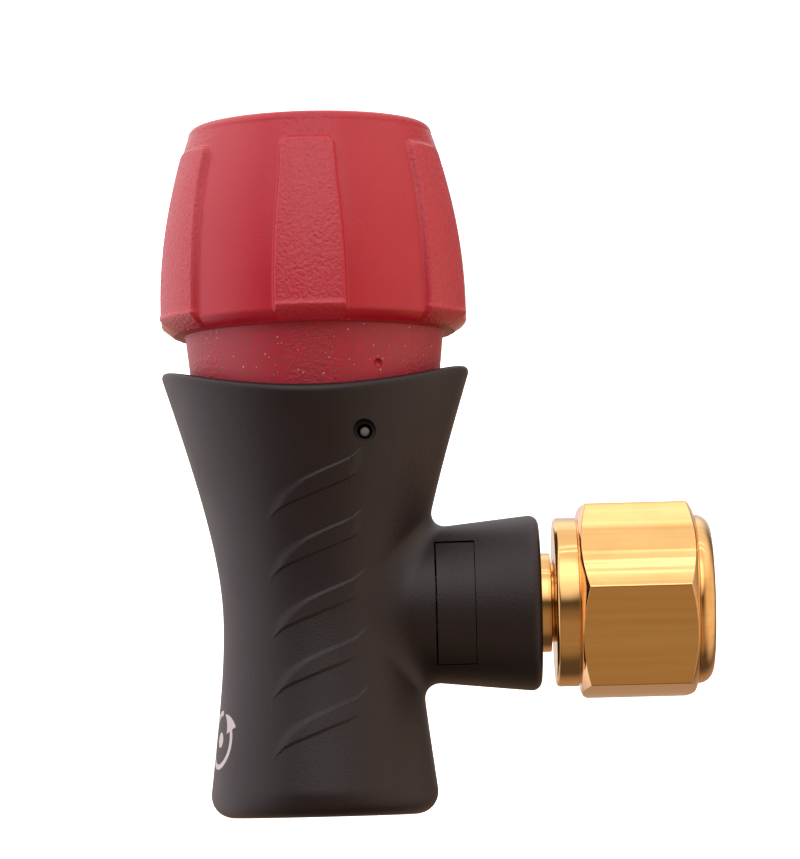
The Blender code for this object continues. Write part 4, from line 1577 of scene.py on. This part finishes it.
@dataclass
class ScrewKnob:
    """The ribbed red knob with its neck."""

    finishes: Finishes
    skirt: float = 39.1
    top: float = 56.15
    crown: float = 0.2
    radius: float = 12.45
    widest: float = 1.9
    curve: float = 84.0
    top_round: float = 0.75
    underside: float = 11.4
    neck_low: float = 33.8
    neck_radius: float = 10.5
    neck_taper: float = 0.0964
    ribs: int = 6
    rib_relief: float = 0.48
    rib_low: float = 40.25
    rib_high: float = 54.1
    rib_corner: float = 0.9
    flank: float = 0.42
    lip: float = 0.1
    lip_height: float = 0.22
    chamfer_reach: float = 0.35
    valley: float = 6.85
    room_radius: float = 6.9
    room_top: float = 50.3
    clip_radius: float = 4.5
    clip_top: float = 53.4
    least_barrel: float = 9.0
    upper_band: float = 1.4
    lower_band: float = 1.0
    band_rows: tuple[int, ...] = (30, 24, 18)
    foot_height: float = 0.95
    foot_outer: tuple[Point, ...] = ((-0.03, 0.85), (-0.12, 0.7))
    foot_inner: tuple[Point, ...] = ((0.12, 0.06), (-0.05, 0.0))
    neck_root_round: float = 0.2
    neck_end_round: float = 0.3
    neck_row: float = 0.25
    dimple: tuple[float, float, float] = (5.25, 35.8, 0.42)
    dimple_out: float = 0.12

    def barrel(self, height: float) -> float:
        """The barrel's radius between its ribs."""
        above = max(0.0, height - self.skirt - self.widest)
        return self.radius - above * above / self.curve

    def outline(self) -> Outline:
        """The knob's outline from its top to its neck and up its inside.

        Returns:
            The (radius, height) points.
        """
        edge = self.top - self.top_round
        shoulder = self.barrel(edge) - self.top_round
        crown = [
            (shoulder * s, self.top + self.crown * (1 - s * s)) for s in np.linspace(0, 1, 24)
        ]
        corner = arc((shoulder, edge), self.top_round, 86, 0, 12)
        marks = (
            edge,
            self.rib_high - self.upper_band,
            self.rib_low + self.lower_band,
            self.skirt + self.foot_height,
        )
        down = []
        for high, low, rows in zip(marks, marks[1:], self.band_rows):
            down += [(self.barrel(h), h) for h in np.linspace(high, low, rows + 1)[1:]]
        foot = [(self.radius + out, self.skirt + up) for out, up in self.foot_outer]
        foot += [(self.underside + out, self.skirt + up) for out, up in self.foot_inner]
        neck_bottom = self.neck_radius - self.neck_taper * (self.skirt - self.neck_low)
        small, large = self.neck_root_round, self.neck_end_round
        root = arc((self.neck_radius + small, self.skirt - small), small, 90, 180, 5)
        neck = dense([root[-1], (neck_bottom, self.neck_low + large)], self.neck_row)
        inside = arc((neck_bottom - large, self.neck_low + large), large, 0, -90, 4)
        inside += [(self.room_radius, self.neck_low), (self.room_radius, self.room_top)]
        inside += [(self.clip_radius, self.room_top), (self.clip_radius, self.clip_top)]
        return crown + corner + down + foot + root + neck + inside + [(0, self.clip_top)]

    def turns(self, radius: float) -> tuple[np.ndarray, np.ndarray]:
        """The angles of one ring, gathered at the ribs' flanks.

        Args:
            radius: the barrel's radius there.

        Returns:
            The angles, and at each the distance into the nearest rib from its foot.
        """
        sector = 2 * math.pi / self.ribs
        valley = math.asin(self.valley / 2 / max(radius, self.underside))
        flank = self.flank / radius
        rib = sector / 2 - valley - flank
        marks = [0, rib * 0.9, rib, rib + flank, rib + flank + 0.01, sector / 2]
        counts = (9, 2, 9, 1, 9)
        half = np.concatenate(
            [np.linspace(a, b, n, endpoint=False) for a, b, n in zip(marks, marks[1:], counts)]
        )
        turn = np.concatenate([half, sector - half[::-1], [sector / 2]])
        turn = np.unique(np.round(turn, 9))[: 2 * len(half)]
        off = np.minimum(turn, sector - turn)
        depth = (rib + flank - off) * radius
        starts = -math.pi / 2 + sector * np.arange(self.ribs)
        return (starts[:, None] + turn[None, :]).ravel(), np.tile(depth, self.ribs)

    def relief(self, depth: np.ndarray, radius: float, height: float) -> np.ndarray:
        """How far the ribs stand out of the barrel.

        Args:
            depth: the distance into the rib from its foot.
            radius: the ring's radius.
            height: the ring's height.

        Returns:
            The radii to add.
        """
        below = self.rib_high - height
        corner = self.rib_corner
        inside = corner - np.hypot(np.maximum(corner - depth, 0), max(corner - below, 0))
        side = smooth_step(inside / self.flank)
        # A thin lip stands out above the chamfer at the rib's foot.
        lip = self.lip * math.exp(-(((height - self.rib_low) / self.lip_height) ** 2))
        amount = self.rib_relief + lip
        if height < self.rib_low:
            start = self.skirt - self.chamfer_reach
            amount *= max(0.0, (height - start) / (self.rib_low - start))
            if radius < self.underside - 0.2:
                amount = 0.0
        return side * amount

    def build(self) -> None:
        """Makes the knob."""
        rings = []
        for radius, height in self.outline():
            if radius < TINY:
                rings.append(np.array([[0, 0, height]]))
                continue
            turns, depth = self.turns(max(radius, self.neck_radius))
            least = self.least_barrel if height > self.rib_low else self.neck_radius + 0.3
            ribbed = radius > least and self.skirt - 0.01 < height < self.rib_high
            reach = radius + (self.relief(depth, radius, height) if ribbed else 0 * depth)
            rings.append(ring_points(reach, turns, height))
        mesh = grid_mesh("knob_fine", rings, False)
        x, z, size = self.dimple
        ball = turned("dimple", arc((0, 0), size, -90, 90, 16), 32)
        reach = self.neck_radius - self.neck_taper * (self.skirt - z)
        front = -math.sqrt(reach**2 - x**2) - self.dimple_out
        ball.transform(Matrix.Translation((x, front, z)))
        mesh = combined(mesh, [ball], Cut.REMOVE)
        place(mesh, ["knob"], Body.KNOB, Slot.KNOB, self.finishes.knob, 50)


@dataclass
class OutletChuck:
    """The gold stem and the swivelling hexagonal chuck, with the rubber seal inside."""

    finishes: Finishes
    start: float = 18.95
    end: float = 31.7
    collar: float = 6.85
    collar_chamfer: float = 0.34
    hex_start: float = 20.92
    hex_end: float = 30.28
    across_flats: float = 15.0
    chamfer_radius: float = 7.3
    chamfer_run: float = 0.72
    corner_turn: float = 5.7
    edge_round: float = 0.16
    camber: float = 0.1
    draw_line: float = 0.0014
    draw_line_pitch: float = 1.9
    groove_radius: float = 6.66
    groove_width: float = 0.1
    groove_flare: float = 0.04
    mouth_round: float = 1.25
    mouth_radius: float = 3.95
    mouth_chamfer: float = 0.45
    thread_pitch: float = 0.794
    thread_depth: float = 0.28
    bore_radius: float = 3.5
    bore_end: float = 24.1
    snap_start: float = 20.7
    snap_end: float = 21.6
    snap_radius: float = 3.95
    thread_start: float = 26.2
    stem_radius: float = 4.02
    stem_bore: float = 0.9
    spigot_radius: float = 2.2
    nose_radius: float = 3.2
    cavity_radius: float = 1.7

    def hex_radius(self, turn: float) -> float:
        """The hexagon's radius at an angle from a corner, with its edges rounded.

        Args:
            turn: the angle from a corner, in radians.

        Returns:
            The radius.
        """
        flat = self.across_flats / 2
        sector = math.pi / 3
        off = turn % sector
        delta = min(off, sector - off)
        middle = (flat - self.camber - self.edge_round) / math.cos(sector / 2)
        away = middle * math.sin(delta)
        if away < self.edge_round * 0.5:
            return middle * math.cos(delta) + math.sqrt(self.edge_round**2 - away**2)
        # Drawn bar is a little crowned, with long shallow lines across its flats.
        across = flat * math.tan(sector / 2 - delta)
        share = across / (flat * math.tan(sector / 2))
        side = across if off < sector / 2 else -across
        wave = sum(
            math.sin(2 * math.pi * side * times / self.draw_line_pitch + times) / times
            for times in (1.0, 2.3, 4.1)
        )
        fade = 1 - share**6
        crown = self.draw_line * wave * fade - self.camber * share**2
        return (flat + crown) / math.cos(sector / 2 - delta)

    def columns(self) -> np.ndarray:
        """The angles round the chuck, gathered at the hexagon's corners.

        Returns:
            The angles from the first corner.
        """
        sector = math.pi / 3
        near = 0.6 * self.edge_round / (self.across_flats / 2)
        half = np.concatenate(
            [
                np.linspace(0, near, 5, endpoint=False),
                [near, near * 1.25],
                np.linspace(near * 1.5, sector / 2, 32, endpoint=False),
            ]
        )
        one = np.concatenate([half, [sector / 2], sector - half[:0:-1]])
        return (np.arange(6)[:, None] * sector + one[None, :]).ravel()

    def profile(self, turn: float) -> Outline:
        """The chuck's section at one angle, with the same number of points at every angle.

        Args:
            turn: the angle from the first corner.

        Returns:
            The closed outline of (radius, place along the arm) points.
        """
        wide = self.hex_radius(turn)
        full = self.across_flats / 2 / math.cos(math.pi / 6)
        run = self.chamfer_run * (wide - self.chamfer_radius) / (full - self.chamfer_radius)
        face = self.collar - self.collar_chamfer
        outside = [
            (self.bore_radius, self.start),
            *arc((face, self.start + self.collar_chamfer), self.collar_chamfer, -90, 0, 6),
            (self.collar, self.hex_start - self.groove_width - self.groove_flare),
            (self.groove_radius, self.hex_start - self.groove_width),
            (self.groove_radius, self.hex_start),
            (self.chamfer_radius, self.hex_start),
            (wide, self.hex_start + run),
            (wide, self.hex_end - run),
            (self.chamfer_radius, self.hex_end),
            (self.groove_radius, self.hex_end),
            (self.groove_radius, self.hex_end + self.groove_width),
            (self.collar, self.hex_end + self.groove_width + self.groove_flare),
        ]
        outside = softened(outside + [(self.collar, self.end), (0, self.end)], 0.06, 3)
        outside = [p for p in outside if p[1] <= self.hex_end + 0.3]
        mouth = arc(
            (self.collar - self.mouth_round, self.end - self.mouth_round),
            self.mouth_round, 0, 90, 14,
        )
        lip = self.mouth_radius + self.mouth_chamfer
        mouth += [(lip + 0.1, self.end), (lip, self.end - 0.04)]
        inside = dense(
            [(self.mouth_radius, self.end - self.mouth_chamfer), (self.mouth_radius, self.bore_end)],
            0.07,
        )
        inside += [
            (self.bore_radius, self.bore_end),
            (self.bore_radius, self.snap_end),
            (self.snap_radius, self.snap_end),
            (self.snap_radius, self.snap_start),
            (self.bore_radius, self.snap_start),
        ]
        return outside + mouth + inside

    def chuck(self) -> bpy.types.Mesh:
        """The chuck's mesh, with the valve thread in its mouth.

        Returns:
            The mesh.
        """
        columns = self.columns()
        profiles = np.array([self.profile(turn) for turn in columns])
        thread = thread_relief(self.thread_start, self.end - 0.5, self.thread_pitch, self.thread_depth)
        first = math.radians(self.corner_turn)
        rings = []
        for row in range(profiles.shape[1]):
            reach, along = profiles[:, row, 0].copy(), profiles[:, row, 1]
            if abs(reach[0] - self.mouth_radius) < TINY and along[0] > self.bore_end + 0.01:
                reach += thread(columns, reach[0], along[0])
            turn = columns + first
            rings.append(
                np.stack(
                    [along, -reach * np.cos(turn), ARM_HEIGHT + reach * np.sin(turn)], 1
                )
            )
        return grid_mesh("chuck", rings, True)

    def stem(self) -> bpy.types.Mesh:
        """The outlet stem, polished where it shows between arm and chuck.

        Returns:
            The mesh.
        """
        bore, spigot, wide = self.stem_bore, self.spigot_radius, self.stem_radius
        nose, cavity = self.nose_radius, self.cavity_radius
        outline = [(bore, 3.4), (spigot, 3.4), *groove(spigot, 1.56, 4.53, 5.57)]
        outline += [(spigot, 6.7), (wide, 6.7), *groove(wide, 3.0, 9.65, 12.15)]
        outline += [(wide, 18.65), (nose, 18.65)]
        outline += groove(nose, 2.75, self.snap_start, self.snap_end)
        outline += groove(nose, 2.46, 22.38, 23.42)
        outline += [(nose, 24.1), (cavity, 24.1), (cavity, 19.0), (bore, 19.0)]
        return along_arm(turned("stem", softened(outline, 0.08, 3), 128))

    def seal(self) -> bpy.types.Mesh:
        """The rubber face seal, crowned a little.

        Returns:
            The mesh.
        """
        low, high = span("chuck_seal", 0)
        radius = (span("chuck_seal", 2)[1] - ARM_HEIGHT) - 0.02
        hole = self.stem_bore
        outline = [(hole, low), (radius, low), (radius, high - 0.1)]
        outline += [(radius - 0.35, high), (2.4, high + 0.05), (hole, high - 0.05)]
        return along_arm(turned("seal", softened(outline, 0.15, 4), 96))

    def depressor(self) -> bpy.types.Mesh:
        """The brass pin that opens the tyre valve's core.

        Returns:
            The mesh.
        """
        low, high = span("core_depressor", 0)
        pin, head, head_low, head_high = 0.6, 1.4, 22.9, 23.7
        outline = [(0, low), (pin, low), *groove(pin, head, head_low, head_high)]
        outline += [(pin, high), (0, high)]
        return along_arm(turned("depressor", softened(outline, 0.12, 4), 64))

    def build(self) -> None:
        """Makes the stem, the chuck, its seal and the depressor."""
        gold = self.finishes.gold
        place(self.stem(), ["outlet_stem"], Body.HOUSING, Slot.GOLD, gold, 30)
        chuck = place(self.chuck(), ["chuck_shell"], Body.CHUCK, Slot.GOLD, gold, 60)
        modifier = chuck.modifiers.new("flat_faces", "WEIGHTED_NORMAL")
        modifier.weight = 60
        modifier.keep_sharp = True
        place(self.seal(), ["chuck_seal"], Body.CHUCK, Slot.RUBBER, self.finishes.rubber)
        place(self.depressor(), ["core_depressor"], Body.DEPRESSOR, Slot.BRASS, self.finishes.brass)


@dataclass
class ValveCore:
    """The brass block with its socket thread, the needle and the cartridge's seal."""

    finishes: Finishes
    socket_radius: float = 4.35
    thread_pitch: float = 1.058
    thread_depth: float = 0.4
    socket_floor: float = 10.0
    socket_lead: float = 0.45
    flange_radius: float = 6.1
    cup_floor: float = 31.6
    neck_radius: float = 5.0
    barrel_radius: float = 3.9
    barrel_floor: float = 32.0
    valve_radius: float = 2.6
    valve_floor: float = 14.2
    gas_radius: float = 1.8
    cross_radius: float = 0.6
    cross_start: float = -8.1

    def block(self) -> bpy.types.Mesh:
        """The valve block, threaded for the cartridge.

        Returns:
            The mesh.
        """
        low, high = span("valve_block", 2)
        floor, cup, lead = self.socket_floor, self.cup_floor, self.socket_lead
        flange, neck, barrel = self.flange_radius, self.neck_radius, self.barrel_radius
        valve, gas = self.valve_radius, self.gas_radius
        outline = [(self.socket_radius + lead, low), (flange - 0.1, low), (flange, low + 0.1)]
        outline += [(flange, cup - 0.1), (flange - 0.1, cup), (neck, cup)]
        outline += [*groove(neck, 4.55, 44.2, 45.2), (neck, high - 0.3), (4.7, high)]
        outline += [(barrel, high), (barrel, self.barrel_floor), (valve, self.barrel_floor)]
        outline += [(valve, self.valve_floor), (gas, self.valve_floor), (gas, floor)]
        outline += dense([(self.socket_radius, floor), (self.socket_radius, low + lead)], 0.09)
        inner = thread_relief(low + 0.2, floor - 1.2, self.thread_pitch, self.thread_depth)

        def relief(turns: np.ndarray, radius: float, height: float) -> np.ndarray:
            """The socket's thread, on the socket's own rings only.

            Args:
                turns: the angles.
                radius: the ring's radius.
                height: the ring's height.

            Returns:
                The radii to add.
            """
            if abs(radius - self.socket_radius) > TINY or height > floor - 0.05:
                return 0 * turns
            return inner(turns, radius, height)

        mesh = turned("block", outline, 96, relief)
        port = turned("port", [(0, 1.3), (2.5, 1.3), (2.5, 8.1), (0, 8.1)], 48)
        start, thin = self.cross_start, self.cross_radius
        cross = turned("cross", [(0, start), (thin, start), (thin, 0), (0, 0)], 32)
        return combined(mesh, [along_arm(port), along_pin(cross)], Cut.REMOVE)

    def needle(self) -> bpy.types.Mesh:
        """The hollow piercing needle, ground to a slanted point.

        Returns:
            The mesh.
        """
        low, high = span("piercing_needle", 2)
        outline = [(0.4, low + 0.1), (0.52, low), (1.5, 8.8), (3.0, 8.8), (3.0, 9.7)]
        outline += [(1.5, 9.7), (1.5, high), (0.4, high)]
        mesh = turned("needle", softened(outline, 0.06, 3), 64)
        bevel = box_solid("bevel", (-3, -3, -1.6), (3, 3, 0))
        tilt = Euler((0, math.radians(38), 0)).to_matrix().to_4x4()
        bevel.transform(Matrix.Translation((0, 0, low + 0.32)) @ tilt)
        return combined(mesh, [bevel], Cut.REMOVE)

    def washer(self, node: str, radius: float) -> bpy.types.Mesh:
        """A soft ring with rounded edges in place of a plain one.

        Args:
            node: the node that it stands for.
            radius: its inner radius.

        Returns:
            The mesh.
        """
        low, high = span(node, 2)
        outer = span(node, 0)[1]
        outline = [(radius, low), (outer, low), (outer, high), (radius, high)]
        return turned(node + "_fine", softened(outline, 0.2, 4), 96)

    def build(self) -> None:
        """Makes the block, the needle and the cartridge's seal."""
        place(self.block(), ["valve_block"], Body.HOUSING, Slot.BRASS, self.finishes.brass, 30)
        place(self.needle(), ["piercing_needle"], Body.HOUSING, Slot.STEEL, self.finishes.steel)
        seal = self.washer("cartridge_seal", 3.3)
        place(seal, ["cartridge_seal"], Body.HOUSING, Slot.RUBBER, self.finishes.rubber)


@dataclass
class CoilSpring:
    """A compression spring, wound between the ends of its node."""

    node: str
    joint: str
    axis: Axis
    middle: float
    wire: float
    turns: float
    travel: float
    steps: int = 24
    sides: int = 12
    flat_turns: float = 0.9
    flat_rise: float = 0.12

    def build(self, material: bpy.types.Material) -> None:
        """Makes the spring.

        Args:
            material: its finish.
        """
        low, high = span(self.node, 0 if self.axis is Axis.ARM else 2)
        shares = np.linspace(0, 1, int(self.turns * self.steps) + 1)
        # The end coils lie flat, as the ends of a real compression spring do.
        marks = (0, self.flat_turns, self.turns - self.flat_turns, self.turns)
        rises = (0, self.flat_rise, 1 - self.flat_rise, 1)
        climb = np.interp(shares * self.turns, marks, rises)
        centre = low + self.wire / 2 + (high - low - self.wire) * climb
        rings = []
        for share, level in zip(shares, centre):
            turn = 2 * math.pi * self.turns * share
            out = np.array([math.cos(turn), math.sin(turn), 0])
            bends = np.linspace(0, 2 * math.pi, self.sides, endpoint=False)
            reach = self.middle + self.wire / 2 * np.cos(bends)
            ring = reach[:, None] * out[None, :]
            ring[:, 2] = level + self.wire / 2 * np.sin(bends)
            rings.append(ring)
        for ring_index, order in ((0, 0), (-1, len(rings) + 1)):
            rings.insert(order, rings[ring_index].mean(0)[None, :])
        mesh = grid_mesh(self.node + "_fine", rings, False)
        if self.axis is Axis.ARM:
            along_arm(mesh)
        piece = place(mesh, [self.node], Body.HOUSING, Slot.STEEL, material)
        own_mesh(piece)


@dataclass
class InnerPieces:
    """The pieces inside that keep their own shape and only get a finish."""

    finishes: Finishes

    def build(self) -> None:
        """Gives each node its material."""
        table = {
            self.finishes.steel: ("valve_plunger", "plunger_clip", "stop_ring", "chuck_snap_ring"),
            self.finishes.brass: ("knob_insert",),
            self.finishes.rubber: (
                "plunger_o_ring_lower", "plunger_o_ring_upper", "stem_o_ring", "swivel_o_ring",
            ),
            self.finishes.nylon: ("valve_seat", "thrust_washer"),
            self.finishes.bronze: ("filter_disc",),
        }
        for material, nodes in table.items():
            for node in nodes:
                obj = bpy.data.objects[node]
                for slot in obj.material_slots:
                    slot.material = material
                LOG.info("%s: %s", node, material.name)


# ---------------------------------------------------------------- studio


@dataclass
class Softbox:
    """One area light, aimed at the object."""

    name: str
    place: tuple[float, float, float]
    size: tuple[float, float]
    power: float
    colour: str = "#ffffff"

    def build(self, aim: Vector) -> None:
        """Makes the light.

        Args:
            aim: the point that it faces.
        """
        light = bpy.data.lights.new(self.name, "AREA")
        light.shape = "RECTANGLE"
        light.size, light.size_y = self.size
        light.energy = self.power
        light.color = linear(self.colour)[:3]
        obj = bpy.data.objects.new(self.name, light)
        obj.location = self.place
        obj.rotation_euler = (aim - Vector(self.place)).to_track_quat("-Z", "Y").to_euler()
        bpy.context.scene.collection.objects.link(obj)


@dataclass(frozen=True)
class Glow:
    """A soft patch of light on the walls of the light tent."""

    towards: tuple[float, float, float]
    inner: float
    outer: float
    strength: float
    colour: str = "#ffffff"

    def add(
        self, tree: bpy.types.NodeTree, direction: bpy.types.NodeSocket, total: bpy.types.NodeSocket
    ) -> bpy.types.NodeSocket:
        """Adds the patch to the light that comes from a direction.

        Args:
            tree: the world's node tree.
            direction: the direction.
            total: the light so far.

        Returns:
            The light with the patch added.
        """
        facing = add_node(
            tree,
            "ShaderNodeVectorMath",
            {"operation": "DOT_PRODUCT"},
            {0: direction, 1: Vector(self.towards).normalized()},
        )
        amount = add_node(
            tree,
            "ShaderNodeMapRange",
            {"interpolation_type": "SMOOTHSTEP"},
            {
                "Value": facing.outputs["Value"],
                "From Min": math.cos(math.radians(self.outer)),
                "From Max": math.cos(math.radians(self.inner)),
                "To Min": 0.0,
                "To Max": self.strength,
            },
        )
        patch = add_node(
            tree,
            "ShaderNodeVectorMath",
            {"operation": "SCALE"},
            {0: linear(self.colour)[:3], "Scale": amount.outputs["Result"]},
        )
        return add_node(
            tree,
            "ShaderNodeVectorMath",
            {"operation": "ADD"},
            {0: total, 1: patch.outputs["Vector"]},
        ).outputs["Vector"]


@dataclass
class Studio:
    """A white floor and backdrop, a pale room and soft lights."""

    aim: Vector = field(default_factory=lambda: Vector((0.008, 0, 0.028)))
    reach: float = 6.0
    floor_drop: float = 0.00002
    paper_glow: float = 1.2
    paper_roughness: float = 0.9
    room: str = "#5a4f47"
    glows: tuple[Glow, ...] = (
        Glow((0, -0.15, 1), 30, 75, 0.92, "#fffaf8"),
        Glow((0, -1, 0.58), 14, 34, 1.1, "#fff8f8"),
        Glow((0, -0.72, -0.82), 2, 46, 0.27, "#ffd9a8"),
        Glow((-1, 0.2, 0.1), 10, 75, 1.25, "#fff3f8"),
        Glow((1, -0.2, -0.05), 20, 66, 0.85, "#ffe6cf"),
        Glow((0, 1, 0.55), 10, 42, 0.6, "#ffffff"),
        Glow((0, 1, -0.35), 10, 45, 0.32, "#ffc890"),
    )
    softboxes: tuple[Softbox, ...] = (
        Softbox("tube_middle", (0.03, -0.162, 0.468), (0.7, 0.0125), 0.06, "#f6f8ff"),
        Softbox("tube_back", (0.03, -0.1, 0.487), (0.7, 0.03), 0.05, "#f6f8ff"),
    )

    def paper(self, name: str, one_sided: bool) -> bpy.types.Material:
        """White paper, evenly lit.

        Args:
            name: the material's name.
            one_sided: whether its underside is left clear, to look at the object from below.

        Returns:
            The material.
        """
        material, tree, shader = start_material(name)
        white = linear("#ffffff")
        set_inputs(
            tree,
            shader,
            {
                "Base Color": white,
                "Roughness": self.paper_roughness,
                "Emission Color": white,
                "Emission Strength": self.paper_glow,
            },
        )
        if one_sided:
            under = add_node(tree, "ShaderNodeNewGeometry").outputs["Backfacing"]
            clear = add_node(tree, "ShaderNodeBsdfTransparent").outputs["BSDF"]
            mix = add_node(
                tree, "ShaderNodeMixShader", inputs={0: under, 1: shader.outputs["BSDF"], 2: clear}
            )
            tree.links.new(mix.outputs[0], tree.nodes["Material Output"].inputs["Surface"])
        return material

    def floor(self) -> None:
        """Makes the floor, which lights nothing and shows in no reflection."""
        bm = bmesh.new()
        bmesh.ops.create_grid(bm, x_segments=1, y_segments=1, size=self.reach)
        mesh = bpy.data.meshes.new("studio_floor")
        bm.to_mesh(mesh)
        bm.free()
        mesh.materials.append(self.paper("white_paper_floor", True))
        floor = bpy.data.objects.new("studio_floor", mesh)
        floor.location.z = -self.floor_drop
        floor.visible_glossy = False
        floor.visible_diffuse = False
        bpy.context.scene.collection.objects.link(floor)

    def backdrop(self) -> None:
        """Makes a white shell round the scene, seen by the camera alone."""
        bm = bmesh.new()
        bmesh.ops.create_uvsphere(bm, u_segments=32, v_segments=16, radius=self.reach)
        mesh = mesh_of(bm, "studio_backdrop")
        mesh.materials.append(self.paper("white_paper_backdrop", False))
        backdrop = bpy.data.objects.new("studio_backdrop", mesh)
        backdrop.visible_glossy = False
        backdrop.visible_diffuse = False
        backdrop.visible_transmission = False
        backdrop.visible_shadow = False
        bpy.context.scene.collection.objects.link(backdrop)

    def build(self) -> None:
        """Makes the stage, the room's light and the softboxes."""
        self.floor()
        self.backdrop()
        world = bpy.data.worlds.new("pale_room")
        world.use_nodes = True
        tree = world.node_tree
        direction = add_node(tree, "ShaderNodeTexCoord").outputs["Generated"]
        dim = add_node(
            tree, "ShaderNodeVectorMath", {"operation": "ADD"}, {0: linear(self.room)[:3]}
        )
        total = dim.outputs["Vector"]
        for glow in self.glows:
            total = glow.add(tree, direction, total)
        tree.links.new(total, tree.nodes["Background"].inputs["Color"])
        bpy.context.scene.world = world
        for softbox in self.softboxes:
            softbox.build(self.aim)
        bpy.context.scene.view_settings.view_transform = "Standard"


@dataclass
class ProductCamera:
    """A long lens near the table top, looking a little up."""

    aim: tuple[float, float, float] = (0.0068, 0.0, 0.0312)
    distance: float = 0.3345
    elevation: float = -4.7
    roll: float = -1.45
    lens: float = 172.0
    nearest: float = 0.01
    farthest: float = 30.0

    def build(self) -> None:
        """Makes the scene's camera."""
        camera = bpy.data.cameras.new("product_camera")
        camera.lens = self.lens
        camera.clip_start = self.nearest
        camera.clip_end = self.farthest
        obj = bpy.data.objects.new("product_camera", camera)
        lift = math.radians(self.elevation)
        away = Vector((0, -math.cos(lift), math.sin(lift))) * self.distance
        obj.location = Vector(self.aim) + away
        look = (-away).to_track_quat("-Z", "Y").to_matrix()
        obj.rotation_euler = (look @ Matrix.Rotation(math.radians(self.roll), 3, "Z")).to_euler()
        bpy.context.scene.collection.objects.link(obj)
        bpy.context.scene.camera = obj


def main() -> None:
    """Builds the studio and every sub-assembly, in order."""
    logging.basicConfig(level=logging.INFO, format="%(name)s: %(message)s")
    ProductCamera().build()
    Studio().build()
    finishes = Finishes()
    for part in (
        GripHousing(finishes),
        ScrewKnob(finishes),
        OutletChuck(finishes),
        ValveCore(finishes),
        InnerPieces(finishes),
    ):
        part.build()
        LOG.info("built %s", type(part).__name__)
    for spring in (
        CoilSpring("return_spring", "plunger_slide", Axis.UPRIGHT, 3.1, 0.7, 5, 1.8),
        CoilSpring("depressor_spring", "depressor_push", Axis.ARM, 1.1, 0.4, 5, 1.0),
    ):
        spring.build(finishes.steel)
        LOG.info("built %s", spring.node)


if __name__ == "__main__":
    main()
